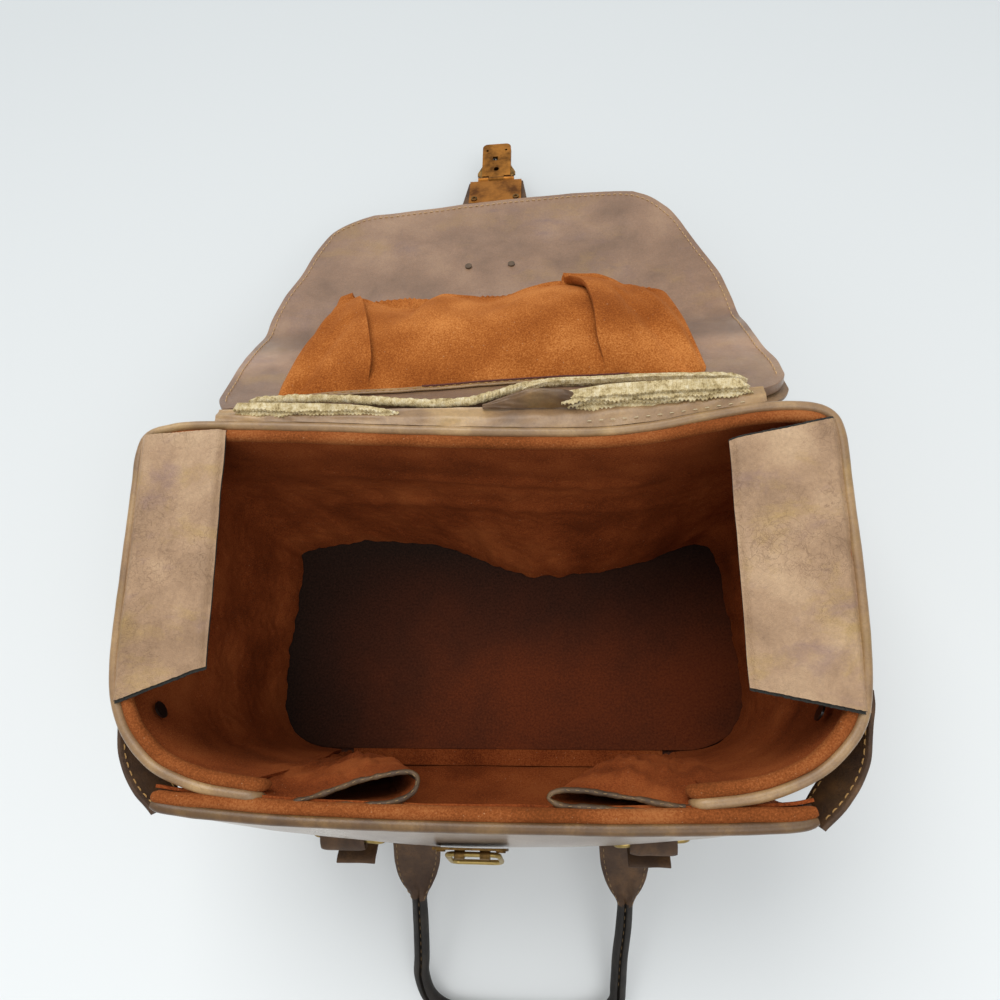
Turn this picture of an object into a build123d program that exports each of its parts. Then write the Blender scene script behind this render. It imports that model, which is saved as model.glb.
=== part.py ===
"""Soft-sided camera case with a thrown-back lid, a drop front and a spring latch.

Millimetres. +X is to the right seen from the front, +Y to the back, +Z up.
The origin is on the table, under the middle of the mouth.
"""

from build123d import *
from math import asin, atan2, cos, degrees, radians, sin, tan
import os

os.makedirs("parts", exist_ok=True)

# Body of the case
case_width = 360.0
case_height = 180.0
back_face = 96.0
wrap_face = -88.0
mouth_half = 105.0
back_corner = 20.0
front_corner = 62.0

# Layers of every soft wall, from outside to inside
skin = 1.6
board = 2.4
padding = 5.0
lining = 1.4
wall = skin + board + padding + lining

# Floor
base_cover_thickness = 1.6
base_board_thickness = 3.0
floor_panel_thickness = 2.4
floor_clearance = 0.3

# Rim: a leatherette piping outside, a roll of napped lining inside
piping_width = 5.0
piping_height = 5.0
piping_overhang = 1.4
roll_height = 6.5
roll_overhang = 1.6
rim_rounding = 2.2

# Front panel, which drops forward on its lower edge
panel_half = 151.6
front_clearance = 2.2
panel_bottom = 2.0
belly_height = 84.0
bottom_bow = 0.5
belly_bow = 18.0
belly_swell = 6.0
rim_bow = 7.0
panel_corner = 25.0

# Gussets between the front wraps and the front panel
gusset_reach = 62.0
gusset_depth = 22.0
gusset_thickness = 1.6
gusset_foot = 0.35
gusset_root_share = 0.3
gusset_tip_share = 0.5

# Dust flaps over the two short sides of the mouth
flap_width = 44.0
flap_back = 90.0
flap_front_outer = -44.0
flap_front_inner = -29.0
flap_taper = 2.0
flap_thickness = 2.4
flap_clearance = 0.3

# Lid: near part, far part and front part, measured on the inner face
lid_half = 155.0
lid_fold_half = 129.0
lid_center = 3.0
lid_near = 106.0
lid_far = 98.0
lid_front_length = 38.0
lid_near_slope = -41.0
lid_far_slope = -19.0
lid_bend_radius = 60.0
lid_lining = 1.2
lid_board = 2.4
lid_skin = 1.6
lid_hinge_corner = 20.0
lid_front_corner = 25.0
lid_board_margin = 5.0
fold_gap = 0.3
hinge_back = 6.5
hinge_drop = 1.0
lid_edge_back = 9.5
lid_edge_drop = 13.0
strip_thickness = 1.4
strip_sewn = 12.0
strip_rounding = 3.0
lip_start = 1.0
lip_case_start = 4.5
lip_case_end = 10.5
lip_half = 120.0
lip_width = 10.0
lip_thickness = 3.6

# Pouch inside the lid
pouch_half = 113.0
pouch_center = 5.0
pouch_start = 15.5
pouch_length = 116.0
pouch_height = 26.0
pouch_wall = 2.0
pouch_ends = [(0.0, 0.35), (3.0, 0.65), (9.0, 0.88), (19.0, 1.0)]
pouch_shoulder_share = 0.72
pouch_swell = 36.0
pouch_mouth_share = 0.75
binding_width = 4.2
binding_thickness = 1.2
elastic_width = 6.0
elastic_thickness = 1.4

# Latch on the lid and the wire loop that it snaps into
latch_center = -4.0
tab_wide = 50.0
tab_narrow = 42.0
tab_thickness = 3.0
tab_underlap = 16.0
plate_width = 40.0
plate_length = 27.0
plate_thickness = 1.5
plate_margin = 1.0
cover_thickness = 1.8
hasp_slope = -10.0
hasp_half = 11.2
hasp_length = 38.0
hasp_thickness = 1.4
hasp_corner = 4.0
hasp_clearance = 0.8
hasp_hole_radius = 2.0
hasp_square_at = 22.0
hasp_round_at = 10.5
hasp_dimple_at = 31.0
hasp_dimple_x = 7.5
catch_thickness = 1.4
catch_reach = 14.8
catch_travel = 3.0
catch_clearance = 0.5
barb_low = 2.5
barb_high = 5.0
barb_end = 13.0
peg_radius = 1.5
peg_margin = 3.0
spring_wire = 0.8
spring_at = 20.0
knuckle_radius = 2.4
pin_radius = 1.2
running_gap = 0.05
sliding_gap = 0.15
knuckle_length = 8.0
knuckle_inner = 6.0
rivet_radius = 2.4
rivet_height = 0.8
lid_rivet_distance = 59.0
lid_rivet_spacing = 30.0

loop_height = 144.0
loop_width = 28.6
loop_drop = 24.0
wire_radius = 1.25
loop_corner = 4.0
loop_lift = 10.0
loop_plate_width = 36.0
loop_plate_length = 13.0
loop_plate_thickness = 1.0
eye_length = 5.0
eye_sink = 0.6

# Rings in their leather chapes, on the front
ring_height = 92.0
ring_center = 3.5
ring_spread = 84.0
ring_width = 42.0
ring_drop = 13.5
ring_wire = 2.0
ring_corner = 3.5
chape_width = 26.0
chape_tail = 17.0
chape_thickness = 2.0
chape_roll = 4.2
roll_lift = 0.2

# Carrying handle, lying forward on the table
handle_center = 13.5
handle_half = 61.0
anchor_height = 52.0
anchor_length = 32.0
anchor_width = 26.0
anchor_thickness = 2.4
anchor_corner = 8.0
handle_standoff = 3.6
handle_reach = 132.0
handle_width = 26.0
handle_tab_thickness = 3.4
handle_roll = 5.2
handle_core_radius = 3.4
handle_corner = 26.0
handle_tab_straight = 22.0
handle_tab_end = 47.0
handle_cone_start = 26.0
handle_roll_start = 43.0
handle_root_gap = 0.8
handle_rest_gap = 0.4

# Straps that hold the front panel's corners to the sides
strap_width = 20.0
strap_thickness = 2.6
strap_drop = 22.0
strap_standoff = 1.6
strap_tail_angle = 199.0
strap_leave_angle = 216.0
snap_angle = 208.0
strap_root_gap = 0.4
snap_radius = 6.0
snap_height = 2.0
snap_rounding = 1.2
stud_radius = 4.0
stud_height = 1.3
washer_radius = 4.6
washer_height = 1.0
seat_depth = 0.8
strap_root_in = 3.0

wall_top = case_height - piping_height
floor_low = base_cover_thickness + base_board_thickness
floor_top = floor_low + floor_panel_thickness
side_face = case_width / 2
panel_back = wrap_face - front_clearance
front_face = panel_back - wall
corner_x = side_face - front_corner
corner_y = wrap_face + front_corner

pieces = {}


def plan_outline(inset):
    with BuildSketch() as outline:
        with Locations((0, (back_face + wrap_face) / 2)):
            Rectangle(case_width - 2 * inset, back_face - wrap_face - 2 * inset)
        fillet(outline.vertices().group_by(Axis.Y)[-1], back_corner - inset)
        fillet(outline.vertices().group_by(Axis.Y)[0], front_corner - inset)
    return outline.sketch


def wall_ring(outside, inside, low, high):
    """A layer that runs round the back, the sides and the two front wraps."""
    with BuildSketch(Plane.XY.offset(low)) as ring:
        add(plan_outline(outside))
        add(plan_outline(inside), mode=Mode.SUBTRACT)
        with Locations((0, wrap_face)):
            Rectangle(2 * mouth_half, 2 * front_corner, mode=Mode.SUBTRACT)
    extrude(ring.sketch, amount=high - low)


def round_top(builder, radius):
    top_edges = builder.edges().group_by(Axis.Z)[-1]
    fillet(top_edges, radius)


def panel_section(outside, inside, bow, height, swell=0.0):
    """Plan of one layer of the bowed front panel, with depths from its outer face.

    Swell moves its two ends forward, and bow its middle.
    """
    with BuildSketch(Plane.XY.offset(height)) as section:
        with BuildLine():
            outer = ThreePointArc(
                (-panel_half, front_face + outside - swell),
                (0, front_face + outside - bow),
                (panel_half, front_face + outside - swell),
            )
            inner = ThreePointArc(
                (-panel_half, front_face + inside - swell),
                (0, front_face + inside - bow),
                (panel_half, front_face + inside - swell),
            )
            Line(outer @ 0, inner @ 0)
            Line(outer @ 1, inner @ 1)
        make_face()
    return section.sketch


def panel_layer(outside, inside):
    """A layer of the front panel, bowed most at belly height, with round lower corners."""
    loft(
        [
            panel_section(outside, inside, bottom_bow, panel_bottom),
            panel_section(outside, inside, belly_bow, belly_height, belly_swell),
            panel_section(outside, inside, rim_bow, wall_top),
        ]
    )
    with BuildSketch(Plane.XZ.offset(-panel_back)) as elevation:
        with Locations((0, (panel_bottom + wall_top) / 2)):
            Rectangle(2 * panel_half, wall_top - panel_bottom)
        fillet(elevation.vertices().group_by(Axis.Y)[0], panel_corner)
    extrude(elevation.sketch, amount=2 * (wall + belly_bow), mode=Mode.INTERSECT)


def panel_rail(outside, inside, height):
    extrude(panel_section(outside, inside, rim_bow, wall_top), amount=height)


def lean_plane(origin, slope):
    """A plane whose local Y points along the slope, and local X to the right."""
    lean = radians(slope)
    return Plane(origin=origin, x_dir=(1, 0, 0), z_dir=(0, -sin(lean), cos(lean)))


# Bottom and floor
with BuildPart() as base_cover:
    with BuildSketch():
        add(plan_outline(0))
        with Locations((0, (wrap_face + front_face) / 2)):
            Rectangle(2 * corner_x, wrap_face - front_face)
    extrude(amount=base_cover_thickness)
pieces["base_cover"] = base_cover

with BuildPart() as base_board:
    with BuildSketch(Plane.XY.offset(base_cover_thickness)):
        add(plan_outline(skin))
    extrude(amount=base_board_thickness)
pieces["base_board"] = base_board

with BuildPart() as floor_panel:
    with BuildSketch(Plane.XY.offset(floor_low)):
        add(plan_outline(wall + floor_clearance))
    extrude(amount=floor_panel_thickness)
pieces["floor_panel"] = floor_panel

with BuildPart() as front_hem:
    with BuildSketch(Plane.XY.offset(floor_low)):
        with Locations((0, wrap_face + wall / 2)):
            Rectangle(2 * (mouth_half - floor_clearance), wall)
    extrude(amount=floor_panel_thickness)
pieces["front_hem"] = front_hem

# Walls
with BuildPart() as case_skin:
    wall_ring(0, skin, base_cover_thickness, wall_top)
pieces["case_skin"] = case_skin

with BuildPart() as back_board:
    with BuildSketch(Plane.XY.offset(floor_low)):
        with Locations((0, back_face - skin - board / 2)):
            Rectangle(case_width - 2 * back_corner, board)
    extrude(amount=wall_top - floor_low)
pieces["back_board"] = back_board

with BuildPart() as side_boards:
    with BuildSketch(Plane.XY.offset(floor_low)):
        with Locations((0, (corner_y + back_face - back_corner) / 2)):
            with GridLocations(case_width - 2 * skin - board, 1, 2, 1):
                Rectangle(board, back_face - back_corner - corner_y)
    extrude(amount=wall_top - floor_low)
pieces["side_boards"] = side_boards

with BuildPart() as wall_padding:
    wall_ring(skin, skin + board + padding, floor_low, wall_top)
    add(back_board.part, mode=Mode.SUBTRACT)
    add(side_boards.part, mode=Mode.SUBTRACT)
pieces["wall_padding"] = wall_padding

with BuildPart() as wall_lining:
    wall_ring(wall - lining, wall, floor_low, wall_top)
pieces["wall_lining"] = wall_lining

with BuildPart() as rim_piping:
    wall_ring(-piping_overhang, piping_width - piping_overhang, wall_top, wall_top + piping_height)
    round_top(rim_piping, rim_rounding)
pieces["rim_piping"] = rim_piping

with BuildPart() as rim_roll:
    wall_ring(piping_width - piping_overhang, wall + roll_overhang, wall_top, wall_top + roll_height)
    round_top(rim_roll, rim_rounding)
pieces["rim_roll"] = rim_roll

# Front panel
with BuildPart() as front_skin:
    panel_layer(0, skin)
pieces["front_skin"] = front_skin

with BuildPart() as front_board:
    panel_layer(skin, skin + board)
pieces["front_board"] = front_board

with BuildPart() as front_padding:
    panel_layer(skin + board, skin + board + padding)
pieces["front_padding"] = front_padding

with BuildPart() as front_lining:
    panel_layer(wall - lining, wall)
pieces["front_lining"] = front_lining

with BuildPart() as front_piping:
    panel_rail(-piping_overhang, piping_width - piping_overhang, piping_height)
    round_top(front_piping, rim_rounding)
pieces["front_piping"] = front_piping

with BuildPart() as front_roll:
    panel_rail(piping_width - piping_overhang, wall + roll_overhang, roll_height)
    round_top(front_roll, rim_rounding)
pieces["front_roll"] = front_roll


def front_plane(x, z):
    """The plane that touches the bowed outer face of the front panel at x, z."""
    ray = Axis((x, front_face - 2 * belly_bow, z), (0, 1, 0))
    point, normal = front_skin.part.find_intersection_points(ray)[0]
    outward = normal if normal.Y < 0 else normal * -1
    return Plane(origin=point, x_dir=(1, 0, 0), z_dir=outward)


# Gussets: each is a thin web folded inwards in a loop behind the front panel
def gusset_loop(side, inset, height, scale):
    reach = gusset_reach * scale
    depth = gusset_depth * scale
    near_y = wrap_face + gusset_thickness / 2
    outer_x = side * mouth_half
    tip_x = side * (mouth_half - reach)
    with BuildSketch(Plane.XY.offset(height)) as loop:
        with BuildLine():
            back_line = ThreePointArc(
                (outer_x, near_y + depth * gusset_root_share),
                ((outer_x + tip_x) / 2, near_y + depth),
                (tip_x, near_y + depth * gusset_tip_share),
            )
            front_line = Line((outer_x, near_y), (tip_x, near_y))
            Line(back_line @ 0, front_line @ 0)
            Line(back_line @ 1, front_line @ 1)
        make_face()
        if inset > 0:
            offset(amount=-inset, kind=Kind.INTERSECTION)
    return loop.sketch


for side, word in ((-1, "left"), (1, "right")):
    with BuildPart() as gusset:
        low = floor_top + floor_clearance
        high = wall_top - floor_clearance
        loft([gusset_loop(side, 0, low, gusset_foot), gusset_loop(side, 0, high, 1.0)])
        loft(
            [
                gusset_loop(side, gusset_thickness, low, gusset_foot),
                gusset_loop(side, gusset_thickness, high, 1.0),
            ],
            mode=Mode.SUBTRACT,
        )
    pieces[f"gusset_{word}"] = gusset

# Dust flaps, lying on the rim roll
for side, word in ((-1, "left"), (1, "right")):
    outer_x = side * (side_face - piping_width + piping_overhang)
    inner_x = outer_x - side * flap_width
    with BuildPart() as dust_flap:
        with BuildSketch(Plane.XY.offset(wall_top + roll_height + flap_clearance)):
            with BuildLine():
                Polyline(
                    (outer_x, flap_back),
                    (inner_x, flap_back - flap_taper),
                    (inner_x, flap_front_inner),
                    (outer_x, flap_front_outer),
                    close=True,
                )
            make_face()
        extrude(amount=flap_thickness)
    pieces[f"dust_flap_{word}"] = dust_flap

# Corner straps and their snaps
strap_height = case_height - strap_drop
strap_reach = front_corner + strap_standoff + strap_thickness / 2


def corner_point(side, angle, radius):
    turn = radians(angle)
    return (side * (corner_x - radius * cos(turn)), corner_y + radius * sin(turn))


def corner_plane(side, angle, radius, height):
    """A plane that faces outwards from the front corner's centre."""
    x, y = corner_point(side, angle, radius)
    turn = radians(angle)
    return Plane(origin=(x, y, height), x_dir=(0, 0, 1), z_dir=(-side * cos(turn), sin(turn), 0))


studs = []
for side, word in ((-1, "left"), (1, "right")):
    tail_point = corner_point(side, strap_tail_angle, strap_reach)
    middle_point = corner_point(side, (strap_tail_angle + strap_leave_angle) / 2, strap_reach)
    leave_point = corner_point(side, strap_leave_angle, strap_reach)
    root_point = (side * (panel_half + strap_root_gap + strap_thickness / 2), front_face + strap_root_in)
    with BuildPart() as corner_strap:
        with BuildSketch(Plane.XY.offset(strap_height - strap_width / 2)) as strap_plan:
            with BuildLine() as strap_line:
                against = ThreePointArc(tail_point, middle_point, leave_point)
                TangentArc(leave_point, root_point, tangent=against % 1)
            trace(strap_line.line, strap_thickness)
        extrude(amount=strap_width)
    pieces[f"corner_strap_{word}"] = corner_strap

    cap_face = front_corner + strap_standoff + strap_thickness
    with BuildPart() as snap_cap:
        with BuildSketch(corner_plane(side, snap_angle, cap_face - seat_depth, strap_height)):
            Circle(snap_radius)
        extrude(amount=seat_depth + snap_height)
        outward = Axis((0, 0, 0), corner_plane(side, snap_angle, 0, 0).z_dir)
        fillet(snap_cap.faces().sort_by(outward)[-1].edges(), snap_rounding)
        add(corner_strap.part, mode=Mode.SUBTRACT)
    pieces[f"snap_cap_{word}"] = snap_cap

    with BuildPart() as outer_stud:
        with BuildSketch(corner_plane(side, snap_angle, front_corner - seat_depth, strap_height)):
            Circle(stud_radius)
        extrude(amount=seat_depth + stud_height)
        add(case_skin.part, mode=Mode.SUBTRACT)
    studs.append(outer_stud.part)

    with BuildPart() as inner_washer:
        with BuildSketch(corner_plane(side, snap_angle, front_corner - wall - washer_height, strap_height)):
            Circle(washer_radius)
        extrude(amount=seat_depth + washer_height)
        add(wall_lining.part, mode=Mode.SUBTRACT)
    studs.append(inner_washer.part)

with BuildPart() as snap_studs:
    for stud in studs:
        add(stud)
pieces["snap_studs"] = snap_studs

# Wire loop of the latch and its plate
loop_seat = front_plane(latch_center, loop_height)
bar_drop = loop_plate_length / 2
bar_rise = loop_plate_thickness + knuckle_radius - eye_sink
bore_radius = wire_radius + running_gap
eye_offset = loop_width / 2 - wire_radius - loop_corner - eye_length / 2 - sliding_gap
with BuildPart() as loop_plate:
    with BuildSketch(loop_seat.offset(-seat_depth)):
        Rectangle(loop_plate_width, loop_plate_length)
    extrude(amount=seat_depth + loop_plate_thickness)
    for direction in (-1, 1):
        eye_plane = Plane(
            origin=loop_seat.from_local_coords((direction * eye_offset - eye_length / 2, -bar_drop, bar_rise)),
            x_dir=loop_seat.y_dir,
            z_dir=loop_seat.x_dir,
        )
        with BuildSketch(eye_plane):
            Circle(knuckle_radius)
        extrude(amount=eye_length)
    bar_plane = Plane(
        origin=loop_seat.from_local_coords((-loop_width, -bar_drop, bar_rise)),
        x_dir=loop_seat.y_dir,
        z_dir=loop_seat.x_dir,
    )
    with BuildSketch(bar_plane):
        Circle(bore_radius)
    extrude(amount=2 * loop_width, mode=Mode.SUBTRACT)
    add(front_skin.part, mode=Mode.SUBTRACT)
pieces["loop_plate"] = loop_plate


def round_path(plane, width, drop, corner):
    """The centre line of a rounded wire rectangle that hangs from its upper bar."""
    with BuildSketch(plane) as outline:
        with Locations((0, -drop / 2)):
            RectangleRounded(width, drop, corner)
    return outline.sketch.faces()[0].outer_wire()


def wire_frame(plane, width, drop, corner, radius):
    path = round_path(plane, width, drop, corner)
    with BuildSketch(Plane(origin=path @ 0, z_dir=path % 0)) as section:
        Circle(radius)
    sweep(section.sketch, path=path)


with BuildPart() as wire_loop:
    loop_plane = Plane(
        origin=loop_seat.from_local_coords((0, -bar_drop, bar_rise)),
        x_dir=loop_seat.x_dir,
        z_dir=loop_seat.z_dir.rotate(Axis((0, 0, 0), loop_seat.x_dir), -loop_lift),
    )
    wire_frame(loop_plane, loop_width - 2 * wire_radius, loop_drop - 2 * wire_radius, loop_corner, wire_radius)
pieces["wire_loop"] = wire_loop

# Rings in their leather chapes
for side, word in ((-1, "left"), (1, "right")):
    ring_seat = front_plane(ring_center + side * ring_spread, ring_height)
    roll_rise = chape_roll + roll_lift
    with BuildPart() as chape:
        with BuildSketch(ring_seat.offset(-seat_depth)):
            with Locations((0, -chape_tail / 2)):
                Rectangle(chape_width, chape_tail)
        extrude(amount=seat_depth + chape_thickness)
        roll_plane = Plane(
            origin=ring_seat.from_local_coords((-chape_width / 2, 0, roll_rise)),
            x_dir=ring_seat.y_dir,
            z_dir=ring_seat.x_dir,
        )
        with BuildSketch(roll_plane):
            Circle(chape_roll)
        extrude(amount=chape_width)
        with BuildSketch(roll_plane):
            Circle(ring_wire + running_gap)
        extrude(amount=chape_width, mode=Mode.SUBTRACT)
        add(front_skin.part, mode=Mode.SUBTRACT)
    pieces[f"ring_chape_{word}"] = chape

    with BuildPart() as ring:
        ring_plane = Plane(
            origin=ring_seat.from_local_coords((0, 0, roll_rise)),
            x_dir=ring_seat.x_dir,
            z_dir=ring_seat.z_dir,
        )
        wire_frame(ring_plane, ring_width - 2 * ring_wire, ring_drop - 2 * ring_wire, ring_corner, ring_wire)
    pieces[f"ring_{word}"] = ring

# Carrying handle with its two anchors
handle_sides = [handle_center - handle_half, handle_center + handle_half]
anchor_tops = []
for x, word in zip(handle_sides, ("left", "right")):
    anchor_seat = front_plane(x, anchor_height)
    with BuildPart() as anchor:
        with BuildSketch(anchor_seat.offset(-seat_depth)) as patch:
            Rectangle(anchor_width, anchor_length)
            fillet(patch.vertices().group_by(Axis.Y)[0], anchor_corner)
        extrude(amount=seat_depth + anchor_thickness)
        add(front_skin.part, mode=Mode.SUBTRACT)
    pieces[f"handle_anchor_{word}"] = anchor
    anchor_tops.append(anchor_seat.from_local_coords((0, anchor_length / 2, handle_standoff)))

handle_pivot_y = min(point.Y for point in anchor_tops)
handle_pivot_z = max(point.Z for point in anchor_tops) + handle_root_gap
handle_grip_z = handle_roll + handle_rest_gap
handle_slope = 180 + degrees(asin((handle_pivot_z - handle_grip_z) / handle_reach))
handle_plane = lean_plane((handle_center, handle_pivot_y, handle_pivot_z), handle_slope)


def handle_line():
    with BuildLine(handle_plane) as line:
        FilletPolyline(
            (-handle_half, handle_roll_start),
            (-handle_half, handle_reach),
            (handle_half, handle_reach),
            (handle_half, handle_roll_start),
            radius=handle_corner,
        )
    return line.wire()


def handle_tube(radius):
    path = handle_line()
    with BuildSketch(Plane(origin=path @ 0, z_dir=path % 0)) as section:
        Circle(radius)
    sweep(section.sketch, path=path)


with BuildPart() as handle_core:
    handle_tube(handle_core_radius)
pieces["handle_core"] = handle_core

with BuildPart() as handle:
    for direction in (-1, 1):
        with BuildSketch(handle_plane.offset(-handle_tab_thickness / 2)):
            with BuildLine():
                Polyline(
                    (direction * handle_half - handle_width / 2, handle_root_gap),
                    (direction * handle_half - handle_width / 2, handle_tab_straight),
                    (direction * handle_half - handle_roll / 2, handle_tab_end),
                    (direction * handle_half + handle_roll / 2, handle_tab_end),
                    (direction * handle_half + handle_width / 2, handle_tab_straight),
                    (direction * handle_half + handle_width / 2, handle_root_gap),
                    close=True,
                )
            make_face()
        extrude(amount=handle_tab_thickness)
        leg_plane = Plane(
            origin=handle_plane.from_local_coords((direction * handle_half, handle_cone_start, 0)),
            x_dir=handle_plane.x_dir,
            z_dir=handle_plane.y_dir,
        )
        with BuildSketch(leg_plane) as narrow:
            Circle(handle_tab_thickness / 2)
        with BuildSketch(leg_plane.offset(handle_roll_start - handle_cone_start)) as full:
            Circle(handle_roll)
        loft([narrow.sketch, full.sketch])
    handle_tube(handle_roll)
    add(handle_core.part, mode=Mode.SUBTRACT)
pieces["handle"] = handle

# Lid
pivot_y = back_face + hinge_back
pivot_z = case_height - hinge_drop
edge_y = pivot_y + lid_edge_back
edge_z = pivot_z - lid_edge_drop


def along(start, slope, distance, depth=0.0):
    """A point on a slope from start, at a depth below the inner face."""
    lean = radians(slope)
    y = start[0] + distance * cos(lean) + depth * sin(lean)
    z = start[1] + distance * sin(lean) - depth * cos(lean)
    return (y, z)


lid_edge = (edge_y, edge_z)
lid_bend = along(lid_edge, lid_near_slope, lid_near)
lid_fold = along(lid_bend, lid_far_slope, lid_far)
lid_tip = along(lid_fold, lid_far_slope, lid_front_length)
bend_turn = lid_far_slope - lid_near_slope
lid_narrowing = (lid_half - lid_fold_half) / lid_far


def lid_curve(depth, start, end):
    """The lid's section at a depth, from a distance past the hinge edge to one past the bend."""
    miter = depth * tan(radians(bend_turn / 2))
    corner = along(lid_bend, lid_near_slope, miter, depth)
    return FilletPolyline(
        along(lid_edge, lid_near_slope, start, depth),
        corner,
        along(lid_bend, lid_far_slope, end, depth),
        radius=lid_bend_radius + depth,
    )


def lid_layer(half_width, top, bottom, start, end):
    with BuildSketch(Plane.YZ.offset(lid_center)) as section:
        with BuildLine():
            upper = lid_curve(top, start, end)
            lower = lid_curve(bottom, start, end)
            Line(upper @ 0, lower @ 0)
            Line(upper @ 1, lower @ 1)
        make_face()
    extrude(section.sketch, amount=half_width, both=True)


def narrow_lid(margin):
    """The lid narrows evenly from its bend to its fold."""
    with BuildSketch() as lid_plan:
        with BuildLine():
            left = Polyline(
                (lid_center - lid_half + margin, pivot_y - lid_edge_back),
                (lid_center - lid_half + margin, lid_bend[0]),
                (lid_center - lid_fold_half + margin, lid_fold[0]),
            )
            right = Polyline(
                (lid_center + lid_half - margin, pivot_y - lid_edge_back),
                (lid_center + lid_half - margin, lid_bend[0]),
                (lid_center + lid_fold_half - margin, lid_fold[0]),
            )
            Line(left @ 0, right @ 0)
            Line(left @ 1, right @ 1)
        make_face()
    extrude(lid_plan.sketch, amount=case_height, mode=Mode.INTERSECT)


def short_edges(builder, thickness):
    return builder.edges().filter_by(lambda edge: abs(edge.length - thickness) < thickness / 100)


def round_hinge_corners(builder, thickness, radius):
    fillet(short_edges(builder, thickness).sort_by(Axis.Y)[:2], radius)


lid_layers = {
    "lid_lining": (0, lid_lining, 0),
    "lid_board": (lid_lining, lid_lining + lid_board, lid_board_margin),
    "lid_skin": (lid_lining + lid_board, lid_lining + lid_board + lid_skin, 0),
}
lid_thickness = lid_lining + lid_board + lid_skin
for name, (top, bottom, margin) in lid_layers.items():
    with BuildPart() as lid_sheet:
        lid_layer(lid_half - margin, top, bottom, margin, lid_far - fold_gap / 2)
        round_hinge_corners(lid_sheet, bottom - top, lid_hinge_corner)
        narrow_lid(margin)
    pieces[name] = lid_sheet

front_plane_of_lid = lean_plane((lid_center, *lid_fold), lid_far_slope)
latch_plane = lean_plane((latch_center, *lid_fold), lid_far_slope)
for name, (top, bottom, margin) in lid_layers.items():
    with BuildPart() as flap_sheet:
        with BuildSketch(front_plane_of_lid.offset(-bottom)) as flap_plan:
            tip_half = lid_fold_half - lid_front_length * lid_narrowing
            with BuildLine():
                Polyline(
                    (margin - lid_fold_half, fold_gap / 2),
                    (margin - tip_half, lid_front_length - margin),
                    (tip_half - margin, lid_front_length - margin),
                    (lid_fold_half - margin, fold_gap / 2),
                    close=True,
                )
            make_face()
            fillet(flap_plan.vertices().group_by(Axis.Y)[-1], lid_front_corner - margin)
        extrude(amount=bottom - top)
    pieces[name.replace("lid", "lid_front")] = flap_sheet

# Torn hinge: the outer strip still holds, the foam and canvas inside have parted
with BuildPart() as hinge_strip:
    with BuildSketch(Plane.YZ.offset(lid_center)) as strip_section:
        with BuildLine() as strip_line:
            FilletPolyline(
                (back_face + strip_thickness, wall_top - strip_sewn),
                (back_face + strip_thickness, wall_top - strip_thickness),
                (pivot_y + strip_thickness, pivot_z),
                along(lid_edge, lid_near_slope, -strip_thickness / 2, lid_thickness / 2),
                radius=strip_rounding,
            )
        trace(strip_line.line, strip_thickness)
    extrude(strip_section.sketch, amount=lid_half - lid_hinge_corner, both=True)
    add(case_skin.part, mode=Mode.SUBTRACT)
    add(rim_piping.part, mode=Mode.SUBTRACT)
pieces["hinge_strip"] = hinge_strip

with BuildPart() as hinge_lip_lid:
    with BuildSketch(Plane.YZ.offset(lid_center)) as lip_section:
        with BuildLine():
            Polyline(
                along(lid_edge, lid_near_slope, lip_start),
                along(lid_edge, lid_near_slope, lip_start + lip_width),
                along(lid_edge, lid_near_slope, lip_start + lip_width, -lip_thickness / 2),
                along(lid_edge, lid_near_slope, lip_start, -lip_thickness),
                close=True,
            )
        make_face()
    extrude(lip_section.sketch, amount=lip_half, both=True)
pieces["hinge_lip_lid"] = hinge_lip_lid

strip_top = (pivot_y + strip_thickness, pivot_z)
strip_end = along(lid_edge, lid_near_slope, -strip_thickness / 2, lid_thickness / 2)
strip_fall = degrees(atan2(strip_end[1] - strip_top[1], strip_end[0] - strip_top[0]))
with BuildPart() as hinge_lip_case:
    with BuildSketch(Plane.YZ.offset(lid_center)) as lip_section:
        with BuildLine():
            Polyline(
                along(strip_top, strip_fall, lip_case_start, -strip_thickness / 2),
                along(strip_top, strip_fall, lip_case_end, -strip_thickness / 2),
                along(strip_top, strip_fall, lip_case_end, -strip_thickness / 2 - lip_thickness / 2),
                along(strip_top, strip_fall, lip_case_start, -strip_thickness / 2 - lip_thickness),
                close=True,
            )
        make_face()
    extrude(lip_section.sketch, amount=lip_half, both=True)
pieces["hinge_lip_case"] = hinge_lip_case


# Pouch inside the lid, open at its far end
def lid_point(distance, rise):
    """A point above the inner face, at a distance from the hinge edge along the lid."""
    if distance < lid_near:
        return along(lid_edge, lid_near_slope, distance, -rise)
    return along(lid_bend, lid_far_slope, distance - lid_near, -rise)


pouch_end = pouch_start + pouch_length
pouch_flat_half = pouch_half - pouch_ends[-1][0]


def pouch_slice(x, start, end, height):
    """The pouch's section at a distance from its middle."""
    with BuildSketch(Plane.YZ.offset(pouch_center + x)) as section:
        with BuildLine():
            under = lid_curve(0, start, end - lid_near)
            crown = Spline(
                lid_point(start, 0),
                lid_point(start + pouch_swell / 2, height * pouch_shoulder_share),
                lid_point(start + pouch_swell, height),
                lid_point(lid_near - pouch_swell / 2, height),
                lid_point(end, height * pouch_mouth_share),
            )
            Line(crown @ 1, under @ 1)
        make_face()
    return section.sketch


def pouch_body(half_width, start, end, height, mode=Mode.ADD):
    lefts = [(inset - half_width, share) for inset, share in pouch_ends]
    rights = [(half_width - inset, share) for inset, share in reversed(pouch_ends)]
    slices = [pouch_slice(x, start, end, height * share) for x, share in lefts + rights]
    loft(slices, ruled=True, mode=mode)


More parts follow.
